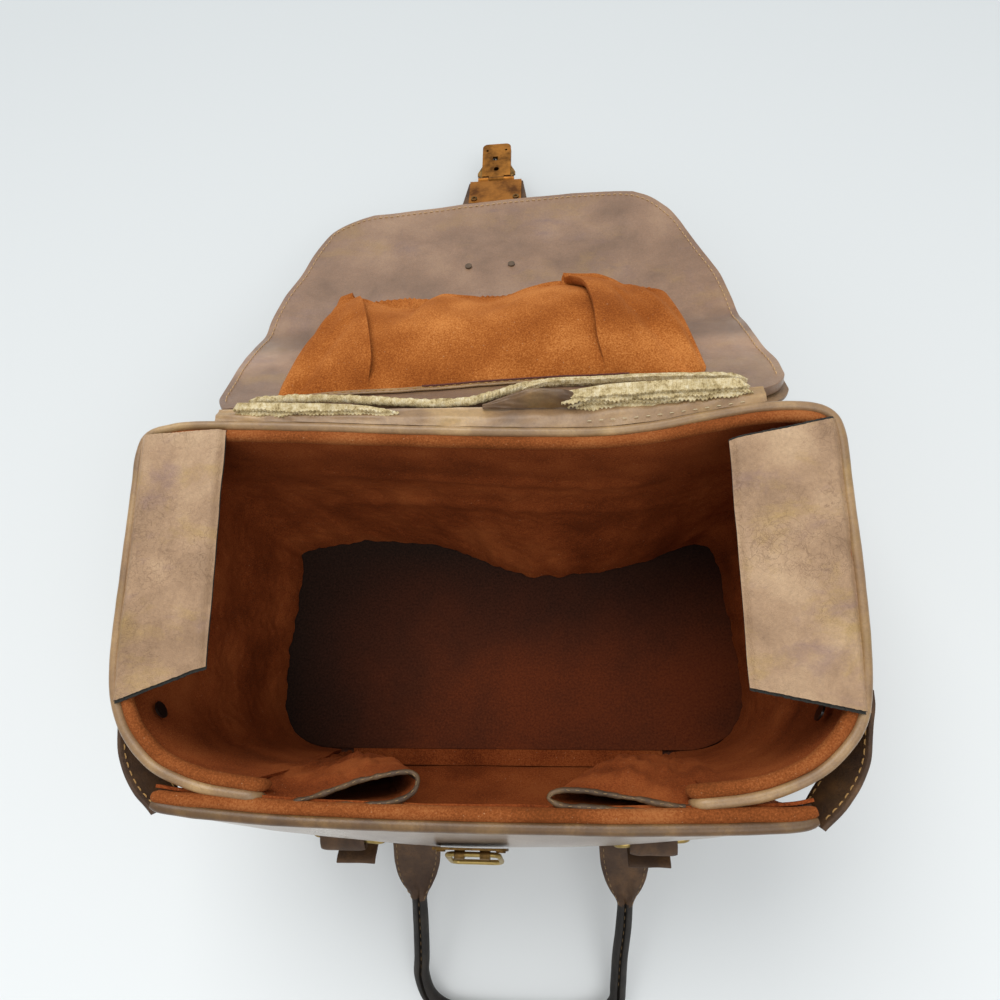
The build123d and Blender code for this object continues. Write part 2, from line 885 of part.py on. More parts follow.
with BuildPart() as pouch:
    pouch_body(pouch_half, pouch_start, pouch_end, pouch_height)
    pouch_body(
        pouch_half - pouch_wall,
        pouch_start + 2 * pouch_wall,
        pouch_end + pouch_wall,
        pouch_height - pouch_wall,
        mode=Mode.SUBTRACT,
    )
pieces["lid_pouch"] = pouch

with BuildPart() as pouch_elastic:
    mouth_top = lid_point(pouch_end, pouch_height * pouch_mouth_share)
    mouth_plane = lean_plane((pouch_center, *mouth_top), lid_far_slope)
    with BuildSketch(mouth_plane.offset(-elastic_width)):
        with Locations((0, elastic_thickness / 2)):
            Rectangle(2 * pouch_flat_half, elastic_thickness)
    extrude(amount=elastic_width)
pieces["pouch_elastic"] = pouch_elastic

with BuildPart() as pouch_binding:
    with BuildSketch(Plane.YZ.offset(pouch_center)) as binding_section:
        with BuildLine():
            Polyline(
                along(lid_edge, lid_near_slope, pouch_start - binding_width),
                along(lid_edge, lid_near_slope, pouch_start),
                along(lid_edge, lid_near_slope, pouch_start, -binding_thickness),
                along(lid_edge, lid_near_slope, pouch_start - binding_width, -binding_thickness),
                close=True,
            )
        make_face()
    extrude(binding_section.sketch, amount=pouch_flat_half, both=True)
pieces["pouch_binding"] = pouch_binding

with BuildPart() as lid_rivets:
    lid_rivet_point = along(lid_bend, lid_far_slope, lid_rivet_distance)
    with BuildSketch(lean_plane((latch_center, *lid_rivet_point), lid_far_slope)):
        with GridLocations(lid_rivet_spacing, 1, 2, 1):
            Circle(rivet_radius)
    extrude(amount=rivet_height)
pieces["lid_rivets"] = lid_rivets

# Latch: a leather tab under the lid's front edge, clamped between two brass plates
tab_start = lid_front_length - tab_underlap
tab_end = lid_front_length + plate_margin + plate_length
with BuildPart() as latch_tab:
    with BuildSketch(latch_plane.offset(-lid_thickness - tab_thickness)):
        with BuildLine():
            Polyline(
                (-tab_wide / 2, tab_start),
                (-tab_wide / 2, lid_front_length),
                (-tab_narrow / 2, tab_end),
                (tab_narrow / 2, tab_end),
                (tab_wide / 2, lid_front_length),
                (tab_wide / 2, tab_start),
                close=True,
            )
        make_face()
    extrude(amount=tab_thickness)
pieces["latch_tab"] = latch_tab

knuckle_y = tab_end + knuckle_radius + sliding_gap
knuckle_z = -lid_thickness + sliding_gap
hinge_bore = pin_radius + running_gap


def cross_plane(base, x, y, z):
    """A plane across the latch whose normal runs to the right."""
    return Plane(origin=base.from_local_coords((x, y, z)), x_dir=base.y_dir, z_dir=base.x_dir)


with BuildPart() as latch_plate:
    with BuildSketch(latch_plane.offset(-lid_thickness)):
        with Locations((0, lid_front_length + plate_margin + plate_length / 2)):
            Rectangle(plate_width, plate_length)
        with Locations((0, tab_end + knuckle_radius / 2)):
            Rectangle(2 * (knuckle_inner + knuckle_length), knuckle_radius)
            Rectangle(2 * knuckle_inner, knuckle_radius, mode=Mode.SUBTRACT)
    extrude(amount=plate_thickness)
    for start in (-knuckle_inner - knuckle_length, knuckle_inner):
        with BuildSketch(cross_plane(latch_plane, start, knuckle_y, knuckle_z)):
            Circle(knuckle_radius)
        extrude(amount=knuckle_length)
    with BuildSketch(cross_plane(latch_plane, -plate_width, knuckle_y, knuckle_z)):
        Circle(hinge_bore)
    extrude(amount=2 * plate_width, mode=Mode.SUBTRACT)
pieces["latch_plate"] = latch_plate

with BuildPart() as latch_cover:
    with BuildSketch(latch_plane.offset(-lid_thickness - tab_thickness - cover_thickness)):
        with Locations((0, lid_front_length + plate_margin + plate_length / 2)):
            RectangleRounded(plate_width, plate_length, hasp_corner)
    extrude(amount=cover_thickness)
pieces["latch_cover"] = latch_cover

rivet_x = plate_width / 2 - 2 * rivet_radius + rivet_height
rivet_y = lid_front_length + plate_margin + 2 * rivet_radius
with BuildPart() as latch_rivets:
    with BuildSketch(latch_plane.offset(-lid_thickness + plate_thickness)):
        with Locations((-rivet_x, rivet_y), (rivet_x, rivet_y)):
            Circle(rivet_radius)
            Circle(rivet_radius / 2, mode=Mode.SUBTRACT)
    extrude(amount=rivet_height)
    with BuildSketch(latch_plane.offset(-lid_thickness - tab_thickness - cover_thickness - rivet_height)):
        with Locations((-rivet_x, rivet_y), (rivet_x, rivet_y)):
            Circle(rivet_radius)
    extrude(amount=rivet_height)
pieces["latch_rivets"] = latch_rivets

with BuildPart() as hasp_pin:
    with BuildSketch(cross_plane(latch_plane, -knuckle_inner - knuckle_length, knuckle_y, knuckle_z)):
        Circle(pin_radius)
    extrude(amount=2 * (knuckle_inner + knuckle_length))
pieces["hasp_pin"] = hasp_pin

# Hasp: two thin plates with a sprung catch on each side between them
hasp_pivot = latch_plane.from_local_coords((0, knuckle_y, knuckle_z))
hasp_plane = lean_plane(hasp_pivot, hasp_slope)
hasp_start = knuckle_radius + hasp_clearance
eye_half = knuckle_inner - sliding_gap
catch_inner = peg_radius + catch_travel + catch_clearance
catch_top = -sliding_gap
catch_low = catch_top - catch_thickness
back_top = catch_low - sliding_gap


def hasp_outline():
    with Locations((0, (hasp_start + hasp_length) / 2)):
        Rectangle(2 * hasp_half, hasp_length - hasp_start)


with BuildPart() as hasp_plate:
    with BuildSketch(hasp_plane) as tongue:
        hasp_outline()
        fillet(tongue.vertices().group_by(Axis.Y)[-1], hasp_corner)
        with Locations((0, hasp_start / 2)):
            Rectangle(2 * eye_half, hasp_start)
        with Locations((-hasp_hole_radius / 2, hasp_square_at)):
            Rectangle(2 * hasp_hole_radius, 2 * hasp_hole_radius, mode=Mode.SUBTRACT)
        with Locations((0, hasp_round_at)):
            Circle(hasp_hole_radius, mode=Mode.SUBTRACT)
        with Locations((-hasp_dimple_x, hasp_dimple_at), (hasp_dimple_x, hasp_dimple_at)):
            Circle(hasp_hole_radius / 2, mode=Mode.SUBTRACT)
    extrude(amount=hasp_thickness)
    with BuildSketch(cross_plane(hasp_plane, -eye_half, 0, 0)):
        Circle(knuckle_radius)
    extrude(amount=2 * eye_half)
    with BuildSketch(cross_plane(hasp_plane, -eye_half, 0, 0)):
        Circle(hinge_bore)
    extrude(amount=2 * eye_half, mode=Mode.SUBTRACT)
pieces["hasp_plate"] = hasp_plate

with BuildPart() as hasp_back:
    with BuildSketch(hasp_plane.offset(back_top - hasp_thickness)) as back_outline:
        hasp_outline()
        fillet(back_outline.vertices().group_by(Axis.Y)[-1], hasp_corner)
    extrude(amount=hasp_thickness)
    with BuildSketch(hasp_plane.offset(back_top)):
        with Locations((0, hasp_start + peg_margin), (0, hasp_length - peg_margin)):
            Circle(peg_radius)
    extrude(amount=-back_top)
pieces["hasp_back"] = hasp_back

for side, word in ((-1, "left"), (1, "right")):
    with BuildPart() as catch:
        with BuildSketch(hasp_plane.offset(catch_low)):
            with BuildLine():
                Polyline(
                    (side * catch_inner, hasp_start + sliding_gap),
                    (side * (hasp_half - sliding_gap), hasp_start + sliding_gap),
                    (side * catch_reach, hasp_start + barb_low),
                    (side * catch_reach, hasp_start + barb_high),
                    (side * (hasp_half - sliding_gap), hasp_start + barb_end),
                    (side * (hasp_half - sliding_gap), hasp_length - 2 * peg_margin),
                    (side * catch_inner, hasp_length - 2 * peg_margin),
                    close=True,
                )
            make_face()
        extrude(amount=catch_thickness)
    pieces[f"catch_{word}"] = catch

with BuildPart() as catch_spring:
    with BuildSketch(hasp_plane.offset(catch_low)):
        with BuildLine() as spring_line:
            Polyline(
                (-catch_inner + spring_wire / 2, spring_at),
                (-catch_inner / 3, spring_at + catch_inner),
                (catch_inner / 3, spring_at - catch_inner),
                (catch_inner - spring_wire / 2, spring_at),
            )
        trace(spring_line.line, spring_wire)
        with Locations((0, spring_at)):
            Rectangle(2 * catch_inner, 6 * catch_inner, mode=Mode.INTERSECT)
    extrude(amount=catch_thickness)
pieces["catch_spring"] = catch_spring

# Rivets of the loop's plate and of the handle anchors
with BuildPart() as front_rivets:
    rivet_spread = loop_plate_width / 2 - rivet_radius - rivet_height
    with BuildSketch(loop_seat.offset(loop_plate_thickness)):
        with Locations((-rivet_spread, rivet_height), (rivet_spread, rivet_height)):
            Circle(rivet_radius)
    extrude(amount=rivet_height)
    for x in handle_sides:
        with BuildSketch(front_plane(x, anchor_height).offset(anchor_thickness)):
            with Locations((0, anchor_length / 4), (0, -anchor_length / 4)):
                Circle(rivet_radius)
        extrude(amount=rivet_height)
pieces["front_rivets"] = front_rivets

for name, piece in pieces.items():
    piece.part.label = name
    export_step(piece.part, f"parts/{name}.step")
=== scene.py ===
import bpy
import bmesh
import math
from mathutils import Matrix, Vector, noise
from mathutils.bvhtree import BVHTree


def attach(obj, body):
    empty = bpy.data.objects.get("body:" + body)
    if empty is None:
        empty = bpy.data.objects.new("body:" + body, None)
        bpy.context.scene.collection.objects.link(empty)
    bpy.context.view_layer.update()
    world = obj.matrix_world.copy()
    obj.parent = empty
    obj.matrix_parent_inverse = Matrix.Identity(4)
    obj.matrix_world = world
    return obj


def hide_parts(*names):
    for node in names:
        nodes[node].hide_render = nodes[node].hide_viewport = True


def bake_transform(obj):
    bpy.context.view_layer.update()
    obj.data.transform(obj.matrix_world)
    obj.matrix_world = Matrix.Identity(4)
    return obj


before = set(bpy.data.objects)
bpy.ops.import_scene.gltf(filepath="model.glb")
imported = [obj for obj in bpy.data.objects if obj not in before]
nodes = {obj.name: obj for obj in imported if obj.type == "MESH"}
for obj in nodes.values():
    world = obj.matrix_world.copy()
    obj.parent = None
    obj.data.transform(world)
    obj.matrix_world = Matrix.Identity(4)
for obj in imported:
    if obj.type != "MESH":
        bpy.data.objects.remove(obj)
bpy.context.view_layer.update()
print("stage: frame loaded,", len(nodes), "nodes")


# Small helpers for points, meshes and pieces
def mm(*values):
    scaled = [value / 1000 for value in values]
    return scaled[0] if len(scaled) == 1 else Vector(scaled)


def smoothstep(low, high, value):
    share = min(1.0, max(0.0, (value - low) / (high - low)))
    return share * share * (3 - 2 * share)


def bump(center, width, value):
    return math.exp(-(((value - center) / width) ** 2))


def mix(a, b, share):
    return a + (b - a) * share


def table(points, value):
    # smooth reading between (place, number) pairs that never overshoots them
    if value <= points[0][0]:
        return points[0][1]
    if value >= points[-1][0]:
        return points[-1][1]
    k = next(i for i in range(len(points) - 1) if value <= points[i + 1][0])

    def slope(i):
        steps = [(points[j + 1][1] - points[j][1]) / (points[j + 1][0] - points[j][0])
                 for j in (i - 1, i) if 0 <= j < len(points) - 1]
        if len(steps) == 1:
            return steps[0]
        a, b = steps
        return 0.0 if a * b <= 0 else 2 * a * b / (a + b)

    (x0, y0), (x1, y1) = points[k], points[k + 1]
    span = x1 - x0
    t = (value - x0) / span
    return (y0 * (1 + 2 * t) * (1 - t) ** 2 + slope(k) * span * t * (1 - t) ** 2
            + y1 * t * t * (3 - 2 * t) + slope(k + 1) * span * t * t * (t - 1))


def wave(x, y, z, size, seed=0.0):
    return noise.noise(Vector((x / size + seed, y / size - seed, z / size + 2 * seed)))


def smoothPath(points, step, closed=False):
    # evenly spaced points on a Catmull-Rom line through the given ones
    points = [Vector(p) for p in points]
    count = len(points)
    fine = []
    spans = count if closed else count - 1
    for i in range(spans):
        p1, p2 = points[i], points[(i + 1) % count]
        p0 = points[i - 1] if closed or i > 0 else p1 * 2 - p2
        p3 = points[(i + 2) % count] if closed or i + 2 < count else p2 * 2 - p1
        for k in range(24):
            t = k / 24
            fine.append(0.5 * ((2 * p1) + (p2 - p0) * t + (2 * p0 - 5 * p1 + 4 * p2 - p3) * t ** 2
                               + (3 * p1 - p0 - 3 * p2 + p3) * t ** 3))
    fine.append(points[0].copy() if closed else points[-1].copy())
    lengths = [0.0]
    for a, b in zip(fine, fine[1:]):
        lengths.append(lengths[-1] + (b - a).length)
    total = lengths[-1]
    wanted = max(2, round(total / step))
    out, j = [], 0
    for i in range(wanted + 1):
        goal = total * i / wanted
        while j < len(lengths) - 2 and lengths[j + 1] < goal:
            j += 1
        gap = lengths[j + 1] - lengths[j]
        out.append(fine[j].lerp(fine[j + 1], 0 if gap == 0 else (goal - lengths[j]) / gap))
    return out[:-1] if closed else out


def newPiece(name, points, faces):
    mesh = bpy.data.meshes.new(name)
    mesh.from_pydata([tuple(p) for p in points], [], faces)
    mesh.update()
    piece = bpy.data.objects.new(name, mesh)
    bpy.context.scene.collection.objects.link(piece)
    return piece


def selectOnly(piece):
    bpy.ops.object.select_all(action="DESELECT")
    bpy.context.view_layer.objects.active = piece
    piece.select_set(True)


def outward(piece):
    bm = bmesh.new()
    bm.from_mesh(piece.data)
    bmesh.ops.remove_doubles(bm, verts=bm.verts, dist=1e-5)
    bmesh.ops.recalc_face_normals(bm, faces=bm.faces)
    bm.to_mesh(piece.data)
    bm.free()


def withModifier(piece, kind, **settings):
    selectOnly(piece)
    modifier = piece.modifiers.new(kind.lower(), kind)
    for key, value in settings.items():
        setattr(modifier, key, value)
    bpy.ops.object.modifier_apply(modifier=modifier.name)


def gridPiece(name, rows, closedAcross=False):
    # a sheet of quads through rows of points
    width = len(rows[0])
    points = [p for row in rows for p in row]
    faces = []
    for r in range(len(rows) - 1):
        for c in range(width if closedAcross else width - 1):
            d = (c + 1) % width
            faces.append((r * width + c, r * width + d, (r + 1) * width + d, (r + 1) * width + c))
    return newPiece(name, points, faces)


def capEnds(piece, size, count):
    # closes both ends of a tube of count rings with size points each
    bm = bmesh.new()
    bm.from_mesh(piece.data)
    bm.verts.ensure_lookup_table()
    bm.faces.new([bm.verts[k] for k in range(size)])
    bm.faces.new([bm.verts[(count - 1) * size + k] for k in range(size)])
    bm.to_mesh(piece.data)
    bm.free()


def thicken(piece, thickness, offset=-1.0, rim=True):
    withModifier(piece, "SOLIDIFY", thickness=thickness, offset=offset, use_rim=rim, use_even_offset=False)


def rounded(piece, width, segments=2, angle=50):
    withModifier(piece, "BEVEL", width=width, segments=segments, limit_method="ANGLE",
                 angle_limit=math.radians(angle), use_clamp_overlap=True)


def smooth(piece, angle=40):
    selectOnly(piece)
    bpy.ops.object.shade_smooth_by_angle(angle=math.radians(angle))


def tube(name, path, radius, sides=12, flat=1.0, closed=False, lift=(0, 0, 1), radii=None):
    # a round or flattened rod along a line, its section kept upright
    rows = []
    up = Vector(lift)
    count = len(path)
    for i, point in enumerate(path):
        ahead = path[(i + 1) % count] if closed or i + 1 < count else path[i]
        behind = path[i - 1] if closed or i > 0 else path[i]
        along = (Vector(ahead) - Vector(behind)).normalized()
        side = along.cross(up).normalized()
        top = side.cross(along).normalized()
        size = radius if radii is None else radii[i]
        rows.append([Vector(point) + side * math.cos(a) * size + top * math.sin(a) * size * flat
                     for a in [2 * math.pi * k / sides for k in range(sides)]])
    if closed:
        rows.append(rows[0])
    piece = gridPiece(name, rows, closedAcross=True)
    if not closed:
        capEnds(piece, sides, len(rows))
    outward(piece)
    return piece


def stitches(name, path, normals, length, gap, radius, body, color, wobble=0.0):
    # short sewn stitches, each a slim rod whose ends dip into the leather
    pitch = length + gap
    spots = smoothPath(path, pitch)
    points, faces = [], []
    for i in range(len(spots) - 1):
        at = spots[i].lerp(spots[i + 1], 0.5)
        along = (spots[i + 1] - spots[i]).normalized()
        share = i / max(1, len(spots) - 2)
        up = normals
        if isinstance(normals, list):
            up = normals[min(len(normals) - 1, int(share * (len(normals) - 1) + 0.5))]
        up = (up - along * up.dot(along)).normalized()
        side = along.cross(up)
        along = (along + side * wobble * wave(at.x, at.y, at.z, 0.004, 3)).normalized()
        side = along.cross(up)
        base = len(points)
        for place, height, size in ((-0.5, -0.6, 0.55), (-0.32, 0.35, 1.0), (0.0, 0.6, 1.0),
                                    (0.32, 0.35, 1.0), (0.5, -0.6, 0.55)):
            center = at + along * length * place + up * radius * height
            for k in range(6):
                turn = math.pi * k / 3
                points.append(center + (side * math.cos(turn) + up * math.sin(turn)) * radius * size)
        for ring in range(4):
            for k in range(6):
                a, b = base + ring * 6 + k, base + ring * 6 + (k + 1) % 6
                faces.append((a, b, b + 6, a + 6))
        faces.append([base + k for k in range(5, -1, -1)])
        faces.append([base + 24 + k for k in range(6)])
    piece = newPiece(name, points, faces)
    outward(piece)
    dress(piece, color)
    if isinstance(body, str):
        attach(piece, body)
    return piece


def dress(piece, *materials):
    piece.data.materials.clear()
    for material in materials:
        piece.data.materials.append(material)


def settle(piece, body, slot, *replaced):
    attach(piece, body)
    if replaced:
        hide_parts(*replaced)


# Materials
def linear(hexColor):
    values = [int(hexColor[i:i + 2], 16) / 255 for i in (1, 3, 5)]
    return [v / 12.92 if v <= 0.04045 else ((v + 0.055) / 1.055) ** 2.4 for v in values] + [1.0]


def blend(a, b, share):
    # a hex colour between two others
    parts = [round(mix(int(a[i:i + 2], 16), int(b[i:i + 2], 16), share)) for i in (1, 3, 5)]
    return "#" + "".join(f"{part:02x}" for part in parts)


def addNode(tree, kind, links=None, ramp=None, sockets=None, **settings):
    node = tree.nodes.new(kind)
    for key, value in settings.items():
        if key in node.inputs:
            node.inputs[key].default_value = value
        else:
            setattr(node, key, value)
    for key, value in (sockets or {}).items():
        node.inputs[key].default_value = value
    for key, source in (links or {}).items():
        tree.links.new(source, node.inputs[key])
    if ramp:
        stops = node.color_ramp.elements
        while len(stops) < len(ramp):
            stops.new(0.5)
        for stop, (place, color) in zip(stops, ramp):
            stop.position = place
            stop.color = linear(color) if isinstance(color, str) else (color, color, color, 1)
    return node


def startMaterial(name):
    material = bpy.data.materials.new(name)
    material.use_nodes = True
    tree = material.node_tree
    tree.nodes.clear()
    place = addNode(tree, "ShaderNodeTexCoord").outputs["Object"]
    shader = addNode(tree, "ShaderNodeBsdfPrincipled")
    out = addNode(tree, "ShaderNodeOutputMaterial", {"Surface": shader.outputs["BSDF"]})
    return material, tree, place, shader


def leatherette(name, deep, base, pale, olive, mauve, roughness, grain, coat=0.08, cloudSize=0.045,
                crackle=0.5, tinted=0.55):
    # PVC leatherette on cloth: a thin skin in cloudy olive and mauve over brown, with fine
    # pressed grain and, where it has aged, a web of fine dark cracks
    material, tree, place, shader = startMaterial(name)
    scale = 1 / cloudSize
    cloud = addNode(tree, "ShaderNodeTexNoise", {"Vector": place}, Scale=scale, Detail=5.0, Roughness=0.58,
                    Distortion=0.2)
    tone = addNode(tree, "ShaderNodeValToRGB", {"Fac": cloud.outputs["Fac"]},
                   ramp=[(0.28, blend(deep, base, 0.45)), (0.5, base), (0.72, pale)])
    color = tone.outputs["Color"]
    for tint, shift, low in ((olive, 3.1, 0.53), (mauve, 7.7, 0.55)):
        moved = addNode(tree, "ShaderNodeMapping", {"Vector": place}, Location=(shift, shift / 2, 0),
                        Scale=(0.8, 1.25, 1.0))
        patch = addNode(tree, "ShaderNodeTexNoise", {"Vector": moved.outputs["Vector"]}, Scale=scale * 1.15,
                        Detail=6.0, Roughness=0.66, Distortion=0.3)
        share = addNode(tree, "ShaderNodeMapRange", {"Value": patch.outputs["Fac"]},
                        **{"From Min": low, "From Max": low + 0.16, "To Min": 0.0, "To Max": tinted})
        color = addNode(tree, "ShaderNodeMix", {0: share.outputs["Result"], 6: color},
                        sockets={7: linear(tint)}, data_type="RGBA").outputs[2]
    # cracks wander where two noises cross their middle, and only in the aged patches
    aged = addNode(tree, "ShaderNodeTexNoise", {"Vector": place}, Scale=scale * 0.9, Detail=2.0)
    reach = addNode(tree, "ShaderNodeMapRange", {"Value": aged.outputs["Fac"]},
                    **{"From Min": 0.38, "From Max": 0.6, "To Min": 0.0, "To Max": crackle})
    lines = None
    for size, wide in ((55.0, 0.010), (120.0, 0.014)):
        veins = addNode(tree, "ShaderNodeTexNoise", {"Vector": place}, Scale=size, Detail=4.0,
                        Roughness=0.55, Distortion=1.2)
        middle = addNode(tree, "ShaderNodeMath", {0: veins.outputs["Fac"]}, operation="SUBTRACT",
                         sockets={1: 0.5})
        away = addNode(tree, "ShaderNodeMath", {0: middle.outputs["Value"]}, operation="ABSOLUTE")
        thin = addNode(tree, "ShaderNodeMapRange", {"Value": away.outputs["Value"]},
                       **{"From Min": 0.0, "From Max": wide, "To Min": 1.0, "To Max": 0.0})
        if lines is None:
            lines = thin.outputs["Result"]
        else:
            lines = addNode(tree, "ShaderNodeMath", {0: lines, 1: thin.outputs["Result"]},
                            operation="MAXIMUM").outputs["Value"]
    cracked = addNode(tree, "ShaderNodeMath", {0: lines, 1: reach.outputs["Result"]}, operation="MULTIPLY")
    color = addNode(tree, "ShaderNodeMix", {0: cracked.outputs["Value"], 6: color},
                    sockets={7: linear(deep)}, data_type="RGBA").outputs[2]
    # pores and rubbed grain tops, about 1.5 mm apart
    pores = addNode(tree, "ShaderNodeTexNoise", {"Vector": place}, Scale=650.0, Detail=6.0, Roughness=0.75)
    rub = addNode(tree, "ShaderNodeMapRange", {"Value": pores.outputs["Fac"]},
                  **{"From Min": 0.3, "From Max": 0.7, "To Min": 0.84, "To Max": 1.14})
    color = addNode(tree, "ShaderNodeVectorMath", {0: color, 1: rub.outputs["Result"]},
                    operation="MULTIPLY").outputs["Vector"]
    tree.links.new(color, shader.inputs["Base Color"])
    pebbles = addNode(tree, "ShaderNodeTexVoronoi", {"Vector": place}, Scale=1100.0,
                      feature="DISTANCE_TO_EDGE")
    heights = addNode(tree, "ShaderNodeMath", {0: pebbles.outputs["Distance"], 1: pores.outputs["Fac"]},
                      operation="ADD")
    sunk = addNode(tree, "ShaderNodeMath", {0: cracked.outputs["Value"], 2: heights.outputs["Value"]},
                   operation="MULTIPLY_ADD", sockets={1: -0.9})
    bumps = addNode(tree, "ShaderNodeBump", {"Height": sunk.outputs["Value"]}, Strength=grain,
                    Distance=0.0005)
    tree.links.new(bumps.outputs["Normal"], shader.inputs["Normal"])
    rough = addNode(tree, "ShaderNodeMapRange", {"Value": cloud.outputs["Fac"]},
                    **{"From Min": 0.3, "From Max": 0.75, "To Min": roughness + 0.1,
                       "To Max": roughness - 0.06})
    tree.links.new(rough.outputs["Result"], shader.inputs["Roughness"])
    shader.inputs["IOR"].default_value = 1.5
    shader.inputs["Specular IOR Level"].default_value = 0.4
    shader.inputs["Coat Weight"].default_value = coat
    shader.inputs["Coat Roughness"].default_value = 0.3
    return material


def napCloth(name, deep, base, pale, pile=0.55, sheen=0.25):
    # brushed nylon nap: a short pile that lightens where it is stroked,
    # in broad patches, and carries pale lint
    material, tree, place, shader = startMaterial(name)
    patches = addNode(tree, "ShaderNodeTexNoise", {"Vector": place}, Scale=26.0, Detail=2.0, Roughness=0.5)
    specks = addNode(tree, "ShaderNodeTexNoise", {"Vector": place}, Scale=1100.0, Detail=3.0, Roughness=0.8)
    half = addNode(tree, "ShaderNodeMath", {0: patches.outputs["Fac"]}, operation="MULTIPLY",
                   sockets={1: 0.42})
    both = addNode(tree, "ShaderNodeMath", {0: specks.outputs["Fac"], 2: half.outputs["Value"]},
                   operation="MULTIPLY_ADD", sockets={1: 0.58})
    tone = addNode(tree, "ShaderNodeValToRGB", {"Fac": both.outputs["Value"]},
                   ramp=[(0.38, deep), (0.5, base), (0.62, pale)])
    lint = addNode(tree, "ShaderNodeTexNoise", {"Vector": place}, Scale=900.0, Detail=1.0)
    share = addNode(tree, "ShaderNodeMapRange", {"Value": lint.outputs["Fac"]},
                    **{"From Min": 0.74, "From Max": 0.8, "To Min": 0.0, "To Max": 0.5})
    flecked = addNode(tree, "ShaderNodeMix", {0: share.outputs["Result"], 6: tone.outputs["Color"]},
                      sockets={7: linear("#c9a27c")}, data_type="RGBA")
    tree.links.new(flecked.outputs[2], shader.inputs["Base Color"])
    pileBump = addNode(tree, "ShaderNodeBump", {"Height": both.outputs["Value"]}, Strength=pile,
                       Distance=0.0009)
    tree.links.new(pileBump.outputs["Normal"], shader.inputs["Normal"])
    shader.inputs["Roughness"].default_value = 0.95
    shader.inputs["Specular IOR Level"].default_value = 0.1
    shader.inputs["Sheen Weight"].default_value = sheen
    shader.inputs["Sheen Roughness"].default_value = 0.5
    shader.inputs["Sheen Tint"].default_value = linear(pale)
    return material


def agedMetal(name, base, dark, roughness, patina=0.5, stainSize=0.009):
    # plated brass sheet: bright where it is rubbed, brown and dull where it is not
    material, tree, place, shader = startMaterial(name)
    stains = addNode(tree, "ShaderNodeTexNoise", {"Vector": place}, Scale=1 / stainSize, Detail=6.0,
                     Roughness=0.65)
    tone = addNode(tree, "ShaderNodeValToRGB", {"Fac": stains.outputs["Fac"]},
                   ramp=[(0.40 - patina * 0.15, dark), (0.62, base)])
    tree.links.new(tone.outputs["Color"], shader.inputs["Base Color"])
    dull = addNode(tree, "ShaderNodeMapRange", {"Value": stains.outputs["Fac"]},
                   **{"From Min": 0.3, "From Max": 0.7, "To Min": roughness + 0.2, "To Max": roughness})
    tree.links.new(dull.outputs["Result"], shader.inputs["Roughness"])
    scratches = addNode(tree, "ShaderNodeTexNoise", {"Vector": place}, Scale=900.0, Detail=3.0)
    marks = addNode(tree, "ShaderNodeBump", {"Height": scratches.outputs["Fac"]}, Strength=0.12,
                    Distance=0.0002)
    tree.links.new(marks.outputs["Normal"], shader.inputs["Normal"])
    shader.inputs["Metallic"].default_value = 1.0
    return material


def tornFoam(name, deep, base, pale):
    # crumbled foam on open canvas: chalky and yellowed, brown in its creases,
    # with thread ribs about 2 mm apart
    material, tree, place, shader = startMaterial(name)
    crumbs = addNode(tree, "ShaderNodeTexNoise", {"Vector": place}, Scale=300.0, Detail=8.0, Roughness=0.78)
    tone = addNode(tree, "ShaderNodeValToRGB", {"Fac": crumbs.outputs["Fac"]},
                   ramp=[(0.34, deep), (0.48, base), (0.64, pale)])
    stains = addNode(tree, "ShaderNodeTexNoise", {"Vector": place}, Scale=70.0, Detail=5.0, Roughness=0.7)
    share = addNode(tree, "ShaderNodeMapRange", {"Value": stains.outputs["Fac"]},
                    **{"From Min": 0.5, "From Max": 0.68, "To Min": 0.0, "To Max": 0.5})
    stained = addNode(tree, "ShaderNodeMix", {0: share.outputs["Result"], 6: tone.outputs["Color"]},
                      sockets={7: linear("#9a865a")}, data_type="RGBA")
    tree.links.new(stained.outputs[2], shader.inputs["Base Color"])
    ribs = addNode(tree, "ShaderNodeTexWave", {"Vector": place}, Scale=170.0, Distortion=3.5, Detail=3.0,
                   wave_type="BANDS", bands_direction="X")
    heights = addNode(tree, "ShaderNodeMath", {0: ribs.outputs["Fac"], 2: crumbs.outputs["Fac"]},
                      operation="MULTIPLY_ADD", sockets={1: 0.5})
    bumps = addNode(tree, "ShaderNodeBump", {"Height": heights.outputs["Value"]}, Strength=0.9,
                    Distance=0.001)
    tree.links.new(bumps.outputs["Normal"], shader.inputs["Normal"])
    shader.inputs["Roughness"].default_value = 0.95
    shader.inputs["Specular IOR Level"].default_value = 0.15
    return material


def plainFinish(name, color, roughness, scale=300.0, strength=0.2, coat=0.0, low=0.8):
    material, tree, place, shader = startMaterial(name)
    tiny = addNode(tree, "ShaderNodeTexNoise", {"Vector": place}, Scale=scale, Detail=4.0)
    dark = blend("#000000", color, low)
    tone = addNode(tree, "ShaderNodeValToRGB", {"Fac": tiny.outputs["Fac"]},
                   ramp=[(0.35, dark), (0.6, color)])
    tree.links.new(tone.outputs["Color"], shader.inputs["Base Color"])
    bumps = addNode(tree, "ShaderNodeBump", {"Height": tiny.outputs["Fac"]}, Strength=strength,
                    Distance=0.0004)
    tree.links.new(bumps.outputs["Normal"], shader.inputs["Normal"])
    shader.inputs["Roughness"].default_value = roughness
    shader.inputs["Coat Weight"].default_value = coat
    return material


